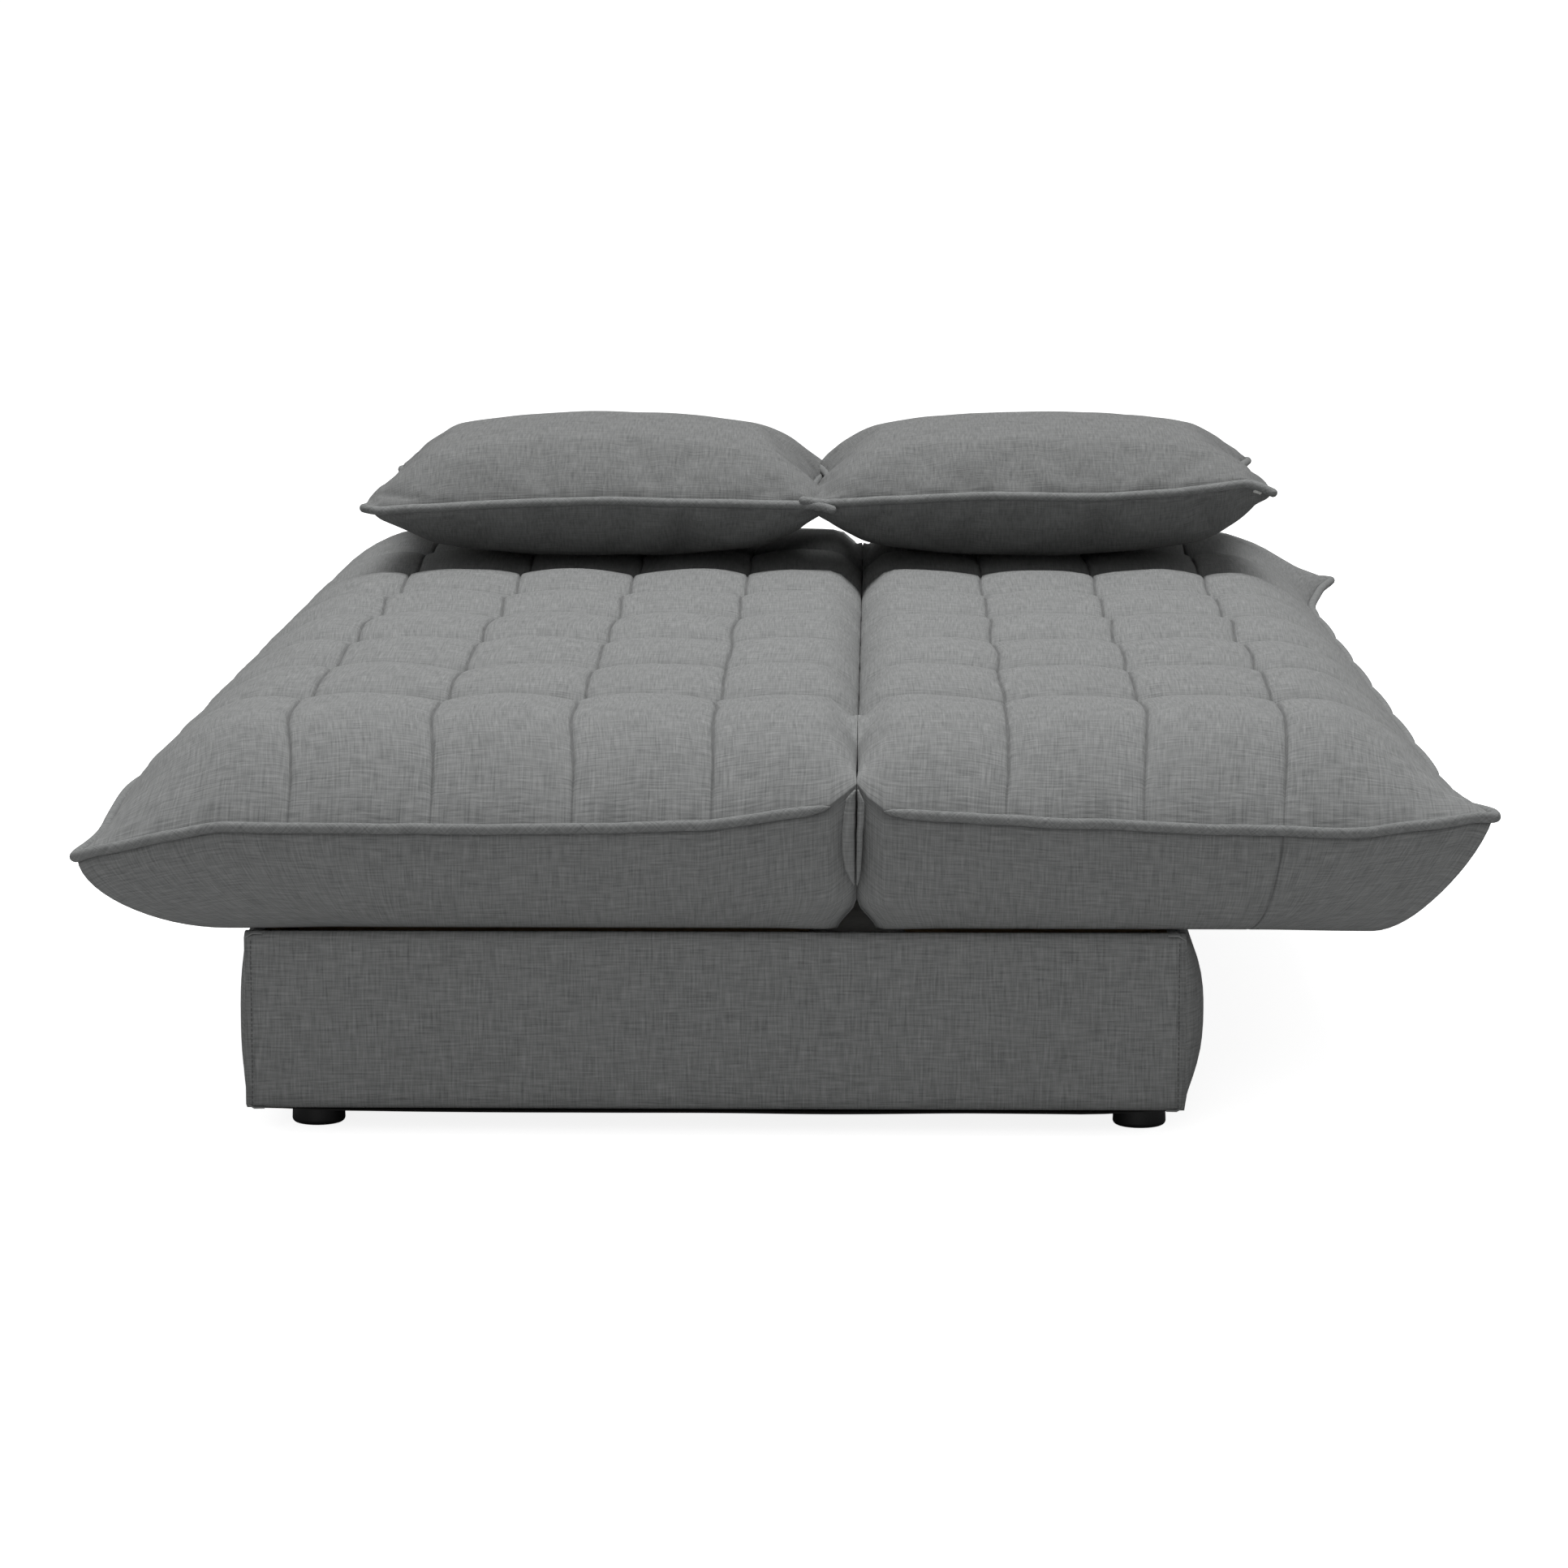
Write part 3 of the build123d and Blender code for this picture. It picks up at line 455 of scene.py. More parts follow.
def quilt_top(name, u, v, seed):
    """Height of one half's quilted top, at a distance out from the crease and a place along."""
    width = WIDTH[name]
    columns = COLUMN_SEAMS[name]
    inward, from_end = width - u, HALF_LENGTH - abs(v)
    across = float(bulge(u, columns, 0.06, 1.5))
    along = float(bulge(v, ROW_SEAMS, 0.13, 1.7))
    rise = float(edge_rise(inward, CROWN_RUN) * edge_rise(from_end, CROWN_RUN))
    valley = 1 - (1 - min(u / CREASE_RUN, 1)) ** 2
    puff = (along * (0.74 + 0.26 * across) + 0.12 * across * (1 - along)) * valley
    start = PIPING_Z + float(piping_rise(name, u) * smooth(0.25, 0.0, from_end))
    height = start + (SEAM_Z - start) * rise + CROWN * puff * rise**0.8
    side_seam = min(abs(u - c) for c in columns)
    cross_seam = min(abs(v - r) for r in ROW_SEAMS)
    height += groove(side_seam, 2.0 * MM, 1.5 * MM) * float(smooth(0, 0.03, from_end))
    height += groove(cross_seam, 2.0 * MM, 3.0 * MM) * float(smooth(0.01, 0.09, inward))
    # pulls that fan out from each crossing
    crossing = math.hypot(side_seam, cross_seam)
    height -= 4.5 * MM * math.exp(-((crossing / (16 * MM)) ** 2)) * rise
    height += 2.2 * MM * wander((u, v, 2), 0.08, seed) * rise
    height += 0.7 * MM * wander((u, v, 3), 0.025, seed) * rise
    # the skin dips beside the piping
    height -= (
        2.0 * MM * math.exp(-((from_end / (6 * MM)) ** 2))
        + 2.0 * MM * math.exp(-((inward / (6 * MM)) ** 2))
    )
    # drag folds where the end panel is pulled towards the piping
    height += 1.6 * MM * wander((u, from_end * 0.25, 4), 0.03, seed) * float(smooth(0.16, 0.01, from_end))
    # the crease stays inside the wedge that lets the halves fold together
    ceiling = PIVOT_Z + 0.4 * MM + WEDGE * u
    soft = 5 * MM
    gap = float(np.clip((soft - (ceiling - height)) / (2 * soft), 0, 1))
    height = height * (1 - gap) + ceiling * gap - soft * gap * (1 - gap)
    # cloth drawn round the hub of each folding fitting
    near_hub = float(smooth(75 * MM, 14 * MM, abs(abs(v) - ARMS_Y)))
    if near_hub and u < HUB_R:
        hub = PIVOT_Z + math.sqrt(HUB_R**2 - u**2)
        height = max(height, PIVOT_Z + (hub - PIVOT_Z) * near_hub)
    return height


def seam_drift(name, u, v, seed):
    """How far the sewn lines stray sideways and lengthways: a little, and differently in each row."""
    inner = float(smooth(0, 0.05, u) * smooth(0, 0.06, WIDTH[name] - u))
    row = (v + HALF_LENGTH) / ROW_PITCH
    swing = math.sin(row * 5.1 + seed) + 0.6 * math.sin(row * 9.7 + 2 * seed)
    side = (1.3 * swing + 2.4 * wander((u, v, 0), 0.14, seed)) * MM * inner
    # the crease itself wanders a little at each row
    side += 0.8 * MM * math.sin(row * 6.28) * float(smooth(0.05, 0, u))
    along = (
        6 * MM * wander((u, 0, 1 + round(row)), 0.13, seed + 4)
        * float(smooth(0, 0.2, HALF_LENGTH - abs(v)))
    )
    return side, along


def quilted_half(name, seed):
    """One half as a closed skin: quilted top, bellied sides, and an underside open over the frame."""
    width, side = WIDTH[name], SIDE[name]
    fine = [0.9 * MM, 2.2 * MM, 5 * MM, 10 * MM]
    us = spaced(COLUMN_SEAMS[name] + [width], fine, 11)
    edges = [-HALF_LENGTH] + ROW_SEAMS + [HALF_LENGTH]
    vs = spaced(edges, fine, 18)
    nu, nv = len(us), len(vs)
    verts, uv_of, seam_and_shade_values = [], [], []
    ends = HALF_LENGTH - RIM
    for v in vs:
        for u in us:
            z = float(quilt_top(name, u, v, seed))
            sewn = min(abs(u - c) for c in COLUMN_SEAMS[name][1:])
            cross = min(abs(v - r) for r in ROW_SEAMS)
            inside = float(smooth(0.02, 0.05, width - u))
            edge = min(width - u, HALF_LENGTH - abs(v))
            # dark sewn lines at the edges and seams, and painted shade in the cross valleys, as one darkening per
            # point
            lines = [(0.5, edge, 1.2 * MM), (0.5, sewn, 1.0 * MM), (0.3 * inside, cross, 1.0 * MM)]
            # painted shade: the cloth is darkened down in each cross valley, on both sides of the row seam
            lines.append((0.17 * inside, cross, 17 * MM))
            seam_and_shade_values.append(max(depth * math.exp(-((away / reach) ** 2)) for depth, away, reach in lines))
            drift, stray = seam_drift(name, u, v, seed)
            # sides pull in a little between the corners
            pull = 15 * MM * smooth(0, 0.10, HALF_LENGTH - abs(v)) * smooth(0.16, 0.0, width - u)
            pull -= (
                SIDE_BUMP[name] * float(bulge(v, ROW_SEAMS, 0.13))
                * smooth(0.14, 0.0, width - u) * smooth(0.02, 0.12, HALF_LENGTH - abs(v))
            )
            pull_end = 5 * MM * smooth(0, 0.08, u) * smooth(0, 0.10, width - u)
            pull_end *= smooth(0.16, 0.0, HALF_LENGTH - abs(v))
            # the end gathers the columns in a little, so they spread out over the first row
            gather = END_GATHER * float(smooth(0.17, 0.0, HALF_LENGTH - abs(v)) * smooth(0, 0.12, width - u))
            out = u * (1 - gather) + drift - pull - RIM * float(smooth(0, width, u))
            x = CREASE + side * max(out, CREASE_GAP if u == 0 else 0.8 * MM)
            y = (v + stray) * ends / HALF_LENGTH - math.copysign(pull_end, v)
            # the piped corners stick out as ears
            out_by, along_by, up_by, reach = EAR[name, 1 if v > 0 else -1]
            ear = float(smooth(reach, 0.0, math.hypot(width - u, HALF_LENGTH - abs(v)))) * MM
            x, y, z = x + side * out_by * ear, y + math.copysign(along_by, v) * ear, z + up_by * ear
            verts.append(Vector((x, y, z)))
            uv_of.append((u, v))
    grid = lambda i, j: j * nu + i
    faces, uvs = [], []
    for j in range(nv - 1):
        for i in range(nu - 1):
            loop = [grid(i, j), grid(i + 1, j), grid(i + 1, j + 1), grid(i, j + 1)]
            faces.append(tuple(loop))
            uvs.append(tuple(uv_of[k] for k in loop))
    rim = [grid(i, 0) for i in range(nu)] + [grid(nu - 1, j) for j in range(1, nv)]
    rim += [grid(i, nv - 1) for i in range(nu - 2, -1, -1)] + [grid(0, j) for j in range(nv - 2, 0, -1)]
    lengths = [0.0]
    for a, b in zip(rim, rim[1:] + rim[:1]):
        lengths.append(lengths[-1] + (verts[a] - verts[b]).length)
    rounds = 16
    previous, drop = rim, [0.0] * len(rim)
    for k in range(1, rounds + 1):
        angle = math.pi / 2 * k / rounds
        low = math.sin(angle)
        run, sharp = UNDER_RUN[name]
        x_in = run * (1 - math.cos(angle)) ** sharp
        y_in = END_RUN * (1 - math.cos(angle) ** 0.8)
        ring, new_drop = [], []
        for n, start in enumerate(rim):
            top = verts[start]
            u0, v0 = uv_of[start]
            z = top.z + (UNDER_Z - top.z) * low
            on_end = abs(abs(v0) - HALF_LENGTH) < 1e-6
            mouth = CREASE_GAP + (MOUTH - CREASE_GAP) * float(smooth(MOUTH_HEIGHT, 0.0, z - UNDER_Z))
            out = abs(top.x - CREASE)
            x = out - x_in * float(smooth(width - 0.30, width, u0))
            x += (mouth - CREASE_GAP) * max(0.0, 1 - out / 0.1)
            y = top.y * (HALF_LENGTH - y_in) / HALF_LENGTH
            belly = math.sin(math.pi * low) * smooth(0, 0.12, out) * smooth(0, 0.15, width - out)
            if on_end:
                corner = float(smooth(CREASE_ROUND, 0.0, out))
                y -= math.copysign(6 * MM * corner**2 * min(1, k / 3), v0)
                panel = PANEL_SEAM.get(name)
                if panel:
                    x += 15 * MM * low * float(smooth(0.09, 0, abs(u0 - panel)))
                    sewn = abs(u0 - panel)
                    y -= math.copysign(1.8 * MM * math.exp(-((sewn / (2.2 * MM)) ** 2)), v0)
                fold_out = 3.0 * MM * wander((out, 0, z), 0.11, seed + v0) * math.sin(math.pi * low)
                y += math.copysign(4 * MM * belly + fold_out, v0)
            elif u0 > 0:
                x += 4 * MM * wander((0, v0, z), 0.13, seed) * math.sin(math.pi * low)
            ring.append(len(verts))
            panel = PANEL_SEAM.get(name, -1) if on_end else -1
            seam_and_shade_values.append(0.5 * math.exp(-(((u0 - panel) / (1.0 * MM)) ** 2)))
            verts.append(Vector((CREASE + side * x, y, z)))
            new_drop.append(drop[n] + (verts[-1] - verts[previous[n]]).length)
        count = len(rim)
        for n in range(count):
            m = (n + 1) % count
            faces.append((previous[n], ring[n], ring[m], previous[m]))
            la, lb = lengths[n], lengths[n + 1]
            uvs.append(((la, -drop[n]), (la, -new_drop[n]), (lb, -new_drop[m]), (lb, -drop[m])))
        previous, drop = ring, new_drop
    low, high = CAVITY[name]
    for z in (UNDER_Z, UNDER_Z + 3 * MM):
        ring = []
        for k in previous:
            p = verts[k]
            ring.append(len(verts))
            seam_and_shade_values.append(0.0)
            verts.append(Vector((min(max(p.x, low[0]), high[0]), min(max(p.y, low[1]), high[1]), z)))
        for n in range(len(rim)):
            m = (n + 1) % len(rim)
            loop = (previous[n], ring[n], ring[m], previous[m])
            faces.append(loop)
            uvs.append(tuple((verts[k].x, verts[k].y) for k in loop))
        previous = ring
    faces.append(tuple(previous))
    uvs.append(tuple((verts[k].x, verts[k].y) for k in previous))
    piece = mesh_piece(f"{name}_quilt", verts, faces, uvs, quilt_cloth, seam=seam_and_shade_values)
    bm = bmesh.new()
    bm.from_mesh(piece.data)
    bmesh.ops.triangulate(bm, faces=[f for f in bm.faces if len(f.verts) > 4])
    bmesh.ops.recalc_face_normals(bm, faces=bm.faces)
    bm.to_mesh(piece.data)
    bm.free()
    piece.data.shade_smooth()
    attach(piece, name)
    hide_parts(f"{name}_cover")

    rim_points = [verts[k].copy() for k in rim[: nu + nv + nu - 2]]
    return rim_points


def rounded_path(points, step, rounding):
    """Points evenly spaced along a path, with its corners rounded by averaging."""
    pts = [Vector(p) for p in points]
    lengths = [0.0]
    for a, b in zip(pts[:-1], pts[1:]):
        lengths.append(lengths[-1] + (b - a).length)
    count = int(lengths[-1] / step)
    even = []
    for n in range(count + 1):
        at = lengths[-1] * n / count
        k = min(np.searchsorted(lengths, at, side="right") - 1, len(pts) - 2)
        t = (at - lengths[k]) / max(lengths[k + 1] - lengths[k], 1e-9)
        even.append(pts[k].lerp(pts[k + 1], t))
    for _ in range(rounding):
        even = [even[0]] + [
            (even[i - 1] + even[i] * 2 + even[i + 1]) / 4 for i in range(1, len(even) - 1)
        ] + [even[-1]]
    return even


def half_piping(name, rim_points):
    """The welt round three sides of a half, tapering where it runs into the crease."""
    middle = Vector((CREASE + SIDE[name] * WIDTH[name] / 2, 0, 0))
    line = []
    for p in rim_points:
        out = Vector((math.copysign(1, p.x - middle.x), math.copysign(1, p.y), 0))
        at_end = HALF_LENGTH - abs(p.y) < 18 * MM
        at_edge = WIDTH[name] - abs(p.x - CREASE) < 24 * MM
        push = Vector((out.x if at_edge else 0, out.y if at_end else 0, -0.1)) * (RIM - PIPING_R)
        line.append(p + push)
    start = next(i for i, p in enumerate(line) if abs(p.x - CREASE) > 0.013)
    line = line[start : len(line) - start]
    path = rounded_path(line, 6 * MM, 3)
    taper = [
        1.12 * min(1.0, 0.15 + 0.85 * math.sqrt(min(i, len(path) - 1 - i) / 4))
        for i in range(len(path))
    ]
    piece = tube(f"{name}_welt", path, [PIPING_R * t for t in taper], piping_cloth)
    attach(piece, name)
    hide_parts(f"{name}_piping")


for half, half_seed in (("seat", 1.3), ("back", 6.1)):
    half_piping(half, quilted_half(half, half_seed))


# ---- crease gussets -------------------------------------------------------------------

GUSSET = {
    "seat": [(0.312, -1.5, 0.6), (0.304, -5.6, 4.2), (0.283, -6.6, 5.4), (0.258, -7.0, 5.6),
        (0.243, -6.0, 4.6),
             (0.234, -3.6, 2.2), (0.229, -1.6, 0.5)],
    "back": [(0.312, 1.2, 0.6), (0.302, 3.2, 2.9), (0.290, 3.4, 3.0), (0.268, 2.6, 2.6), (0.246, 1.6, 2.2),
             (0.236, 1.2, 1.6), (0.229, 0.6, 0.5)],
}


def gusset_lip(name, end, way):
    """One soft lip of the folded gusset that closes the crease at an end of the bed."""
    heights, middles, halves = (np.array(column) for column in zip(*GUSSET[name]))
    count, sides = 40, 16
    verts, faces, uvs, seam_and_shade_values = [], [], [], []
    for i in range(count + 1):
        z = heights[0] + (heights[-1] - heights[0]) * i / count
        middle = np.interp(-z, -heights, middles) * MM
        half = np.interp(-z, -heights, halves) * MM
        fold_in = 0.8 * MM * wander((0, 0, z), 0.012, end)
        for k in range(sides):
            a = 2 * math.pi * k / sides
            deep = (10 * MM if math.sin(a) < 0 else 4.5 * MM) * min(1, half / (2 * MM))
            verts.append(Vector((CREASE + middle + half * math.cos(a) + fold_in,
                                 way * (HALF_LENGTH - 1.5 * MM + deep * math.sin(a)), z)))
            seam_and_shade_values.append(0.8 if k in (0, sides // 2) else 0.0)
    for i in range(count):
        for k in range(sides):
            m = (k + 1) % sides
            faces.append((i * sides + k, i * sides + m, (i + 1) * sides + m, (i + 1) * sides + k))
            uvs.append(((k * MM, -i * 2 * MM), ((k + 1) * MM, -i * 2 * MM),
                        ((k + 1) * MM, -(i + 1) * 2 * MM), (k * MM, -(i + 1) * 2 * MM)))
    for first, order in ((0, range(sides)), (count * sides, range(sides - 1, -1, -1))):
        faces.append(tuple(first + k for k in order))
        uvs.append(tuple((0, 0) for _ in range(sides)))
    piece = mesh_piece(f"gusset_{name}_{'near' if way < 0 else 'far'}", verts, faces, uvs,
        quilt_cloth, seam=seam_and_shade_values)
    tidy_normals(piece)
    if name == "seat":
        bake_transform(piece)
    else:
        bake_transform(piece)


for half in SIDE:
    gusset_lip(half, 1.0, -1)
    gusset_lip(half, 5.0, 1)


# ---- top-stitching --------------------------------------------------------------------


def stitch_tree():
    """Geometry nodes: short thread stitches set end to end along every line."""
    tree = bpy.data.node_groups.new("stitches", "GeometryNodeTree")
    tree.interface.new_socket(name="Geometry", in_out="INPUT", socket_type="NodeSocketGeometry")
    for label in ("Pitch", "Length", "Thread"):
        tree.interface.new_socket(name=label, in_out="INPUT", socket_type="NodeSocketFloat")
    tree.interface.new_socket(name="Material", in_out="INPUT", socket_type="NodeSocketMaterial")
    tree.interface.new_socket(name="Geometry", in_out="OUTPUT", socket_type="NodeSocketGeometry")
    add, link = tree.nodes.new, tree.links.new
    given, result = add("NodeGroupInput"), add("NodeGroupOutput")
    curve, spread, thread = (
        add("GeometryNodeMeshToCurve"), add("GeometryNodeCurveToPoints"), add("GeometryNodeMeshUVSphere")
    )
    spread.mode = "LENGTH"
    thread.inputs["Segments"].default_value = 6
    thread.inputs["Rings"].default_value = 4
    place, scale = add("GeometryNodeInstanceOnPoints"), add("ShaderNodeCombineXYZ")
    real, finish = add("GeometryNodeRealizeInstances"), add("GeometryNodeSetMaterial")
    link(given.outputs["Geometry"], curve.inputs[0])
    link(curve.outputs[0], spread.inputs["Curve"])
    link(given.outputs["Pitch"], spread.inputs["Length"])
    link(given.outputs["Thread"], thread.inputs["Radius"])
    link(given.outputs["Length"], scale.inputs["Z"])
    scale.inputs["X"].default_value = 1
    scale.inputs["Y"].default_value = 1
    link(spread.outputs["Points"], place.inputs["Points"])
    link(spread.outputs["Rotation"], place.inputs["Rotation"])
    link(thread.outputs["Mesh"], place.inputs["Instance"])
    link(scale.outputs[0], place.inputs["Scale"])
    link(place.outputs[0], real.inputs[0])
    link(real.outputs[0], finish.inputs["Geometry"])
    link(given.outputs["Material"], finish.inputs["Material"])
    link(finish.outputs[0], result.inputs[0])
    return tree


STITCHES = stitch_tree()


def stitching(name, lines, body, pitch=4.5 * MM, stretch=4.0, thread=0.45 * MM):
    """Stitches along lines of points, as one mesh on a body."""
    verts, edges = [], []
    for line in lines:
        edges += [(len(verts) + i, len(verts) + i + 1) for i in range(len(line) - 1)]
        verts += [tuple(p) for p in line]
    mesh = bpy.data.meshes.new(name)
    mesh.from_pydata(verts, edges, [])
    guide = bpy.data.objects.new(f"{name}_guide", mesh)
    bpy.context.scene.collection.objects.link(guide)
    modifier = guide.modifiers.new("stitches", "NODES")
    modifier.node_group = STITCHES
    sockets = {item.name: item.identifier for item in STITCHES.interface.items_tree if item.in_out == "INPUT"}
    for label, value in (("Pitch", pitch), ("Length", stretch), ("Thread", thread),
        ("Material", thread_cloth)):
        modifier[sockets[label]] = value
    guide.update_tag()
    bpy.context.view_layer.update()
    made = bpy.data.meshes.new_from_object(guide.evaluated_get(bpy.context.evaluated_depsgraph_get()))
    bpy.data.objects.remove(guide)
    piece = bpy.data.objects.new(name, made)
    bpy.context.scene.collection.objects.link(piece)
    made.shade_smooth()
    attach(piece, body)


# ---- bedding box covers ---------------------------------------------------------------

FRONT_COVER, REAR_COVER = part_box("base_cover_front"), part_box("base_cover_rear")
END_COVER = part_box("base_cover_end_near")
BOX_LOW, BOX_HIGH = FRONT_COVER[0][2], FRONT_COVER[1][2]
FACE_END = -END_COVER[0][1]
SEAM_FRONT, SEAM_REAR = FRONT_COVER[0][0] + 10 * MM, REAR_COVER[1][0] - 20 * MM
BULGE = {"front": 10 * MM, "rear": 20 * MM}


def box_profile(belly, wrap=16 * MM, edge=7 * MM, steps=14):
    """From the underside's fold, up the bellied face, to the fold over the top: (out, height)."""
    points = [(-wrap, BOX_LOW + 0.2 * MM), (-edge, BOX_LOW)]
    for n in range(steps + 1):
        t = n / steps
        z = BOX_LOW + 4 * MM + (BOX_HIGH - BOX_LOW - 8 * MM) * t
        points.append((belly * (1 - abs(2 * t - 1) ** 2.6), z))
    points += [(-edge, BOX_HIGH), (-wrap, BOX_HIGH - 0.2 * MM)]
    return points


def box_panel(name, start, end, out, belly_of, count, nodes, seed):
    """A cloth panel stretched over one side of the box, with its edges folded over."""
    start, end, out = Vector(start), Vector(end), Vector(out)
    verts, faces, uvs = [], [], []
    span = (end - start).length
    rows = len(box_profile(0))
    for i in range(count + 1):
        s = i / count
        for k, (push, z) in enumerate(box_profile(belly_of(s))):
            place = start.lerp(end, s) + out * push
            ripple = 1.1 * MM * wander((s * span, z, seed), 0.12) * math.sin(math.pi * k / (rows - 1))
            ripple += 1.0 * MM * wander((s * span, z * 0.4, seed + 2), 0.05) * smooth(0.05, 0.0, BOX_HIGH - z)
            verts.append(place + out * ripple + Vector((0, 0, z)))
    for i in range(count):
        for k in range(rows - 1):
            a, b = i * rows + k, (i + 1) * rows + k
            loop = (a, b, b + 1, a + 1)
            faces.append(loop)
            uvs.append(tuple((span * (q // rows) / count, verts[q].z) for q in loop))
    piece = mesh_piece(name, verts, faces, uvs, base_cloth)
    thick = piece.modifiers.new("cloth", "SOLIDIFY")
    thick.thickness = 1.2 * MM
    thick.offset = -1
    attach(piece, "base")
    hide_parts(*nodes)
    return piece


def box_covers():
    """Four cloth panels: bellied front and rear that wrap the corners, and two flat ends."""
    for end_name, way in (("near", -1), ("far", 1)):
        y = way * FACE_END
        a, b = (SEAM_FRONT, y, 0), (SEAM_REAR, y, 0)
        first, last = (a, b) if way < 0 else (b, a)
        box_panel(f"box_end_cloth_{end_name}", first, last, (0, way, 0),
            lambda s: 1.5 * MM * math.sin(math.pi * s),
                  70, [f"base_cover_end_{end_name}"], 3.0 + way)
    for name, x, way, node in (
        ("front", SEAM_FRONT, -1, "base_cover_front"),
        ("rear", SEAM_REAR, 1, "base_cover_rear"),
    ):
        first, last = (x, FACE_END, 0), (x, -FACE_END, 0)
        if way > 0:
            first, last = last, first
        belly = BULGE[name]
        box_panel(f"box_{name}_cloth", first, last, (way, 0, 0),
                  lambda s, belly=belly: belly * (1 - abs(2 * s - 1) ** 40), 150, [node], 9.0 + way)


box_covers()
for end_name, way in (("near", -1), ("far", 1)):
    rows = []
    for seam_x, inward in ((SEAM_FRONT, 1), (SEAM_REAR, -1)):
        x = seam_x + inward * 6 * MM
        rows.append([
            (x, way * (FACE_END + 1.9 * MM), BOX_LOW + 6 * MM + (BOX_HIGH - BOX_LOW - 14 * MM) * n / 30)
            for n in range(31)
        ])
    stitching(f"box_stitches_{end_name}", rows, "base")


# ---- feet and dust cloth --------------------------------------------------------------


def feet():
    """Moulded feet, turned from their outline, with a well for the screw."""
    for name in [n for n in frame["nodes"] if n.startswith("foot_") and n != "foot_screws"]:
        low, high = (Vector(c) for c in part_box(name))
        middle, radius, height = (low + high) / 2, (high.x - low.x) / 2, high.z - low.z
        edge = 4 * MM
        outline = [(8 * MM, 8 * MM), (8 * MM, 0.5 * MM), (8.8 * MM, 0)]
        outline += [(radius - edge + edge * math.sin(a), edge - edge * math.cos(a)) for a in
                    (math.radians(d) for d in range(0, 91, 10))]
        outline += [(radius - 0.6 * MM, height * 0.8), (radius - 1.2 * MM, height - 1 * MM),
            (radius - 2.2 * MM, height)]
        outline += [(3.2 * MM, height), (3.2 * MM, 8 * MM)]
        sides, verts, faces = 48, [], []
        for k in range(sides):
            a = 2 * math.pi * k / sides
            verts += [
                Vector((middle.x + r * math.cos(a), middle.y + r * math.sin(a), low.z + z))
                for r, z in outline
            ]
        n = len(outline)
        for k in range(sides):
            a, b = k * n, (k + 1) % sides * n
            faces += [(a + i, b + i, b + (i + 1) % n, a + (i + 1) % n) for i in range(n)]
        piece = mesh_piece(f"{name}_moulding", verts, faces, None, black_plastic)
        tidy_normals(piece)
        piece.data.shade_smooth()
        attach(piece, "base")
        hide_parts(name)


def dust_cloth():
    """Thin black cloth stapled under the box, hanging a little between its edges."""
    low, high = (Vector(c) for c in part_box("dust_cover"))
    nx, ny = 40, 90
    verts, faces = [], []
    for j in range(ny + 1):
        for i in range(nx + 1):
            s, t = i / nx, j / ny
            x, y = low.x + (high.x - low.x) * s, low.y + (high.y - low.y) * t
            away = smooth(0, 0.10, s) * smooth(0, 0.10, 1 - s)
            hang = (
                away * (5.5 * MM + 2.5 * MM * wander((x, y, 0), 0.16, 2.0))
                * (0.6 + 0.4 * smooth(0, 0.05, min(t, 1 - t)))
            )
            verts.append(Vector((x, y, high.z - 0.3 * MM - max(hang, 0))))
    for j in range(ny):
        for i in range(nx):
            a = j * (nx + 1) + i
            faces.append((a, a + nx + 1, a + nx + 2, a + 1))
    piece = mesh_piece("dust_cloth", verts, faces, None, black_cloth)
    thick = piece.modifiers.new("cloth", "SOLIDIFY")
    thick.thickness = 0.5 * MM
    thick.offset = 1
    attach(piece, "base")
    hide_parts("dust_cover")


feet()
dust_cloth()


# ---- loose cushions -------------------------------------------------------------------


def cushion_shape(size, mid, top, n, seed):
    """Top and bottom sheets of a cushion, joined at their rim, as verts, faces and UVs."""
    half_w, half_l = size[0] / 2, size[1] / 2
    verts, index = [], {}
    rim_line = []
    for sheet, sign in ((0, 1), (1, -1)):
        for j in range(n + 1):
            for i in range(n + 1):
                a, b = 2 * i / n - 1, 2 * j / n - 1
                # bunch the grid a little towards the rim
                a, b = (
                    math.sin(a * math.pi / 2 * 0.9) / math.sin(math.pi / 2 * 0.9),
                    math.sin(b * math.pi / 2 * 0.9) / math.sin(math.pi / 2 * 0.9),
                )
                on_rim = i in (0, n) or j in (0, n)
                if on_rim and sheet:
                    index[sheet, i, j] = index[0, i, j]
                    continue
                pull = 0.085
                x = half_w * a * (1 - pull * (1 - b * b) * abs(a) ** 3)
                y = half_l * b * (1 - pull * (1 - a * a) * abs(b) ** 3)
                swell = ((1 - a ** 2) * (1 - b ** 2))
                swell = max(swell, 0) ** 0.40
                z = sign * swell * (top if sign > 0 else mid)
                z += 1.5 * MM * wander((x, y, sign * 0.5), 0.05, seed) * min(1, swell * 3)
                index[sheet, i, j] = len(verts)
                verts.append(Vector((x, y, z)))
    faces, uvs = [], []
    for sheet in (0, 1):
        for j in range(n):
            for i in range(n):
                corners = [(i, j), (i + 1, j), (i + 1, j + 1), (i, j + 1)]
                if sheet:
                    corners.reverse()
                faces.append(tuple(index[sheet, p, q] for p, q in corners))
                uvs.append(tuple((size[0] * p / n, size[1] * q / n + sheet * size[1]) for p, q in corners))
    rim_line = [index[0, i, 0] for i in range(n)] + [index[0, n, j] for j in range(n)]
    rim_line += [index[0, i, n] for i in range(n, 0, -1)] + [index[0, 0, j] for j in range(n, 0, -1)]
    return verts, faces, uvs, rim_line


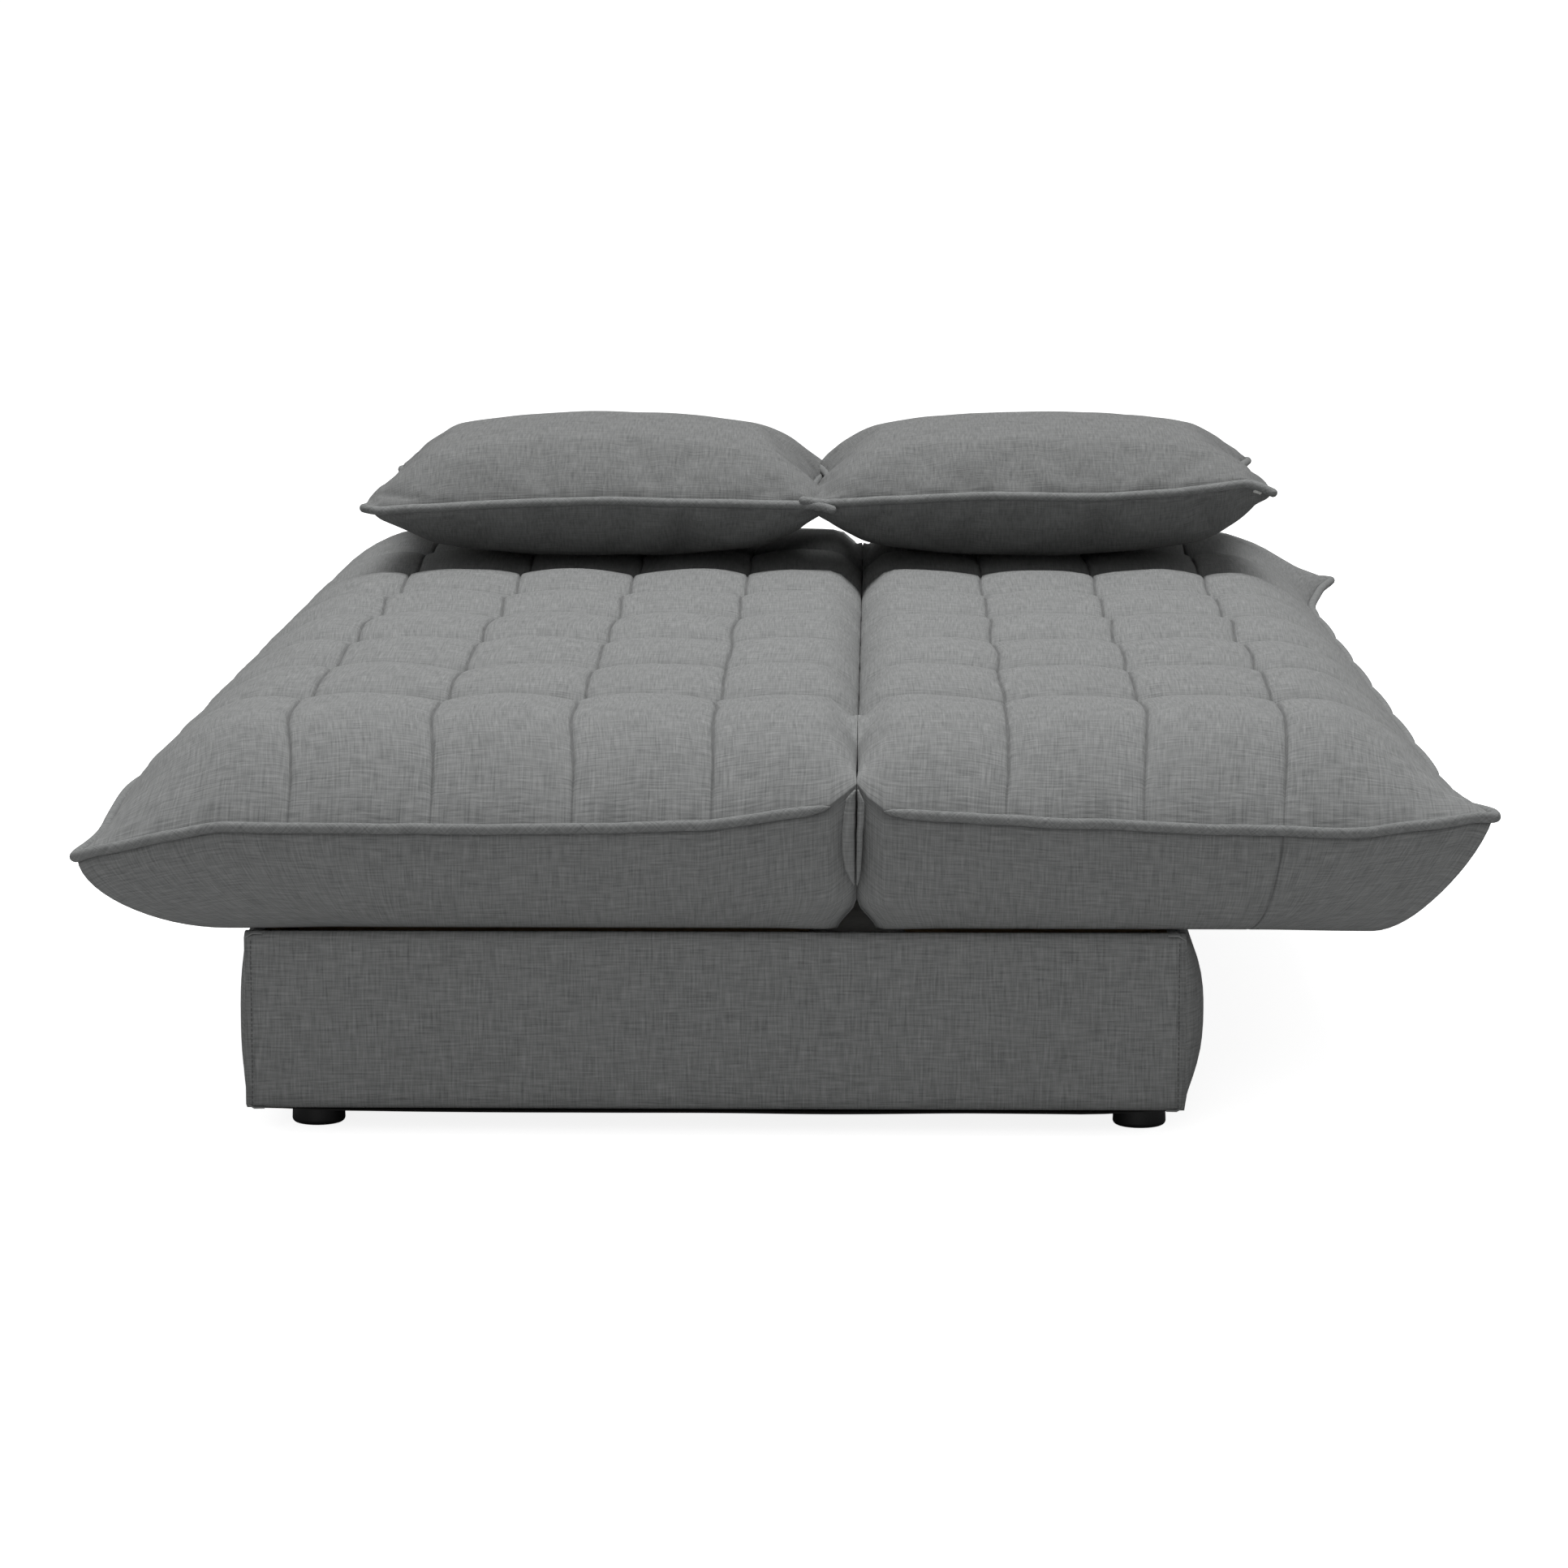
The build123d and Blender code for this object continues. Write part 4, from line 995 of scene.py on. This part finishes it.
def blow_up(piece, rim, cap):
    """Cloth under pressure, held at its rim, for a full and slightly wrinkled skin."""
    before = [v.co.copy() for v in piece.data.vertices]
    group = piece.vertex_groups.new(name="rim")
    group.add(rim, 0.9, "REPLACE")
    modifier = piece.modifiers.new("cloth", "CLOTH")
    cloth = modifier.settings
    cloth.quality = 6
    cloth.mass = 0.3
    cloth.tension_stiffness = 12
    cloth.compression_stiffness = 12
    cloth.shear_stiffness = 4
    cloth.bending_stiffness = 0.4
    cloth.use_pressure = True
    cloth.uniform_pressure_force = 3.5
    cloth.shrink_min = -0.035
    cloth.vertex_group_mass = "rim"
    cloth.effector_weights.gravity = 0
    modifier.collision_settings.use_collision = False
    scene = bpy.context.scene
    for number in range(1, 21):
        scene.frame_set(number)
    after = piece.evaluated_get(bpy.context.evaluated_depsgraph_get())
    moved = [v.co.copy() for v in after.data.vertices]
    piece.modifiers.remove(modifier)
    for v, was, now in zip(piece.data.vertices, before, moved):
        step = now - was
        if step.length > cap:
            step *= cap / step.length
        v.co = was + step
    scene.frame_set(1)


CUSHION_SPREAD = (24 * MM, 6 * MM)
CUSHION_CAP = 16 * MM
CUSHION_SLACK = {"under": 12 * MM, "top": 16 * MM}
CUSHION_GRID = 56
WELT_R = 4.9 * MM
WELT_TUCK = -1.0 * MM

# height of the near rim at places across, each from -1 to 1, in millimetres
CUSHION_RIM = {
    "seat": [(-1, -2), (-0.94, -6), (-0.7, -3), (-0.35, 2), (0, 6), (0.35, 4), (0.7, 3), (0.94, 3), (1, -2)],
    "back": [(-1, 0), (-0.93, -4), (-0.6, -1), (-0.2, 3), (0.25, -1), (0.6, 6), (0.88, 17), (1, 3)],
}


def cushion(name, seed, nudge, lift, lean, turn):
    """A plump piped cushion lying on its half."""
    low, high = (Vector(c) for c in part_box(f"{name}_cushion_piping"))
    skin_low, skin_high = (Vector(c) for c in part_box(f"{name}_cushion_cover"))
    middle = (low + high) / 2
    middle.z += lift
    middle.x += nudge
    size = (high.x - low.x + CUSHION_SPREAD[0], high.y - low.y + CUSHION_SPREAD[1])
    under = middle.z - skin_low.z - CUSHION_SLACK["under"]
    top = skin_high.z - middle.z - CUSHION_SLACK["top"]
    verts, faces, uvs, rim = cushion_shape(size, under, top, CUSHION_GRID, seed)
    piece = mesh_piece(f"{name}_cushion", verts, faces, uvs, cushion_cloth)
    blow_up(piece, rim, CUSHION_CAP)
    place = Matrix.Translation(middle) @ Matrix.Rotation(turn, 4, "Z") @ Matrix.Rotation(lean, 4, "Y")
    piece.data.transform(place)
    stations, rises = zip(*CUSHION_RIM[name])
    for v in piece.data.vertices:
        # the near edge of each cushion waves a little, and its corners curl
        share = float(np.clip((middle.y - v.co.y) / (size[1] / 2), 0, 1)) ** 2
        rise = float(np.interp((v.co.x - middle.x) / (size[0] / 2), stations, rises)) * MM
        v.co.z += rise * share * float(smooth(0.05, 0.0, abs(v.co.z - middle.z)))
    for v in piece.data.vertices:
        # it lies on the quilting, so its underside is pressed flat there
        v.co.z = max(v.co.z, CREST_Z - 1 * MM) if v.co.z < middle.z else v.co.z
    filling = mesh_piece(f"{name}_cushion_filling", [], [], None, foam)
    filling.data = piece.data.copy()
    filling.data.materials.clear()
    filling.data.materials.append(fibre)
    shrink = Matrix.Translation(middle) @ Matrix.Diagonal((0.95, 0.95, 0.94, 1)) @ Matrix.Translation(-middle)
    filling.data.transform(shrink)
    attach(filling, f"{name}_cushion")
    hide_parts(f"{name}_cushion_fill")
    smooth_more = piece.modifiers.new("round", "SUBSURF")
    smooth_more.levels = smooth_more.render_levels = 1
    bpy.context.view_layer.update()
    rounded = piece.evaluated_get(bpy.context.evaluated_depsgraph_get()).data
    rim_points = [rounded.vertices[k].co.copy() for k in rim]
    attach(piece, f"{name}_cushion")
    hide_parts(f"{name}_cushion_cover")
    loop = [p + (p - middle).normalized() * WELT_TUCK for p in rim_points]
    loop = [(loop[i - 1] + p * 2 + loop[(i + 1) % len(loop)]) / 4 for i, p in enumerate(loop)]
    welt = tube(f"{name}_cushion_welt", loop, WELT_R, piping_cloth, closed=True)
    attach(welt, f"{name}_cushion")
    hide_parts(f"{name}_cushion_piping")


cushion("seat", 2.0, 1 * MM, -2 * MM, math.radians(0.2), math.radians(0.2))
cushion("back", 8.0, -9 * MM, 8 * MM, math.radians(-0.6), math.radians(-0.7))


# ---- floor, light and camera ----------------------------------------------------------


def studio():
    """White paper floor and surround, with soft light from above and a weak fill from the front."""
    bpy.ops.mesh.primitive_plane_add(size=60, location=(0, 0, 0))
    floor = bpy.context.object
    floor.name = "studio_floor"
    material, tree, shader = new_material("studio_paper", 0.9)
    shader.inputs["Specular IOR Level"].default_value = 0.1
    seen = tree.nodes.new("ShaderNodeLightPath").outputs["Is Camera Ray"]
    tree.links.new(mix_colour(tree, seen, (0.42, 0.42, 0.42), (0.95, 0.95, 0.95)),
        shader.inputs["Base Color"])
    shader.inputs["Emission Color"].default_value = (1, 1, 1, 1)
    tree.links.new(maths(tree, "MULTIPLY", seen, 0.86), shader.inputs["Emission Strength"])
    floor.data.materials.append(material)
    world = bpy.data.worlds.new("studio")
    bpy.context.scene.world = world
    world.use_nodes = True
    tree = world.node_tree
    seen = tree.nodes.new("ShaderNodeLightPath").outputs["Is Camera Ray"]
    background = tree.nodes["Background"]
    background.inputs["Color"].default_value = (1, 1, 1, 1)
    tree.links.new(maths(tree, "MULTIPLY_ADD", seen, 0.75, 0.32), background.inputs["Strength"])
    for name, place, aim, size, power in (
        ("overhead", (0.1, 0.05, 5.2), (0, 0.0, 0.3), 3.3, 290),
        ("front_fill", (-0.8, -6.0, 2.2), (0, 0, 0.2), 3.0, 45),
    ):
        light = bpy.data.lights.new(name, "AREA")
        light.size = size
        light.energy = power
        lamp = bpy.data.objects.new(name, light)
        lamp.location = place
        lamp.rotation_euler = (Vector(aim) - Vector(place)).to_track_quat("-Z", "Y").to_euler()
        bpy.context.scene.collection.objects.link(lamp)
    bpy.context.scene.view_settings.view_transform = "Standard"


LENS, SENSOR = 119.2, 36
EYE = (16 * MM, 4.41, 0.591)  # to one side of the crease, back from the near end, over the crest
EYE_PITCH, EYE_YAW = 8.24, 1.02


def camera():
    """A long lens, low over the near end, looking down the crease."""
    data = bpy.data.cameras.new("camera")
    data.lens = LENS
    data.sensor_width = SENSOR
    eye = bpy.data.objects.new("camera", data)
    eye.location = (CREASE + EYE[0], -HALF_LENGTH - EYE[1], CREST_Z + EYE[2])
    eye.rotation_euler = (math.radians(90 - EYE_PITCH), 0.0, math.radians(EYE_YAW))
    bpy.context.scene.collection.objects.link(eye)
    bpy.context.scene.camera = eye


studio()
camera()
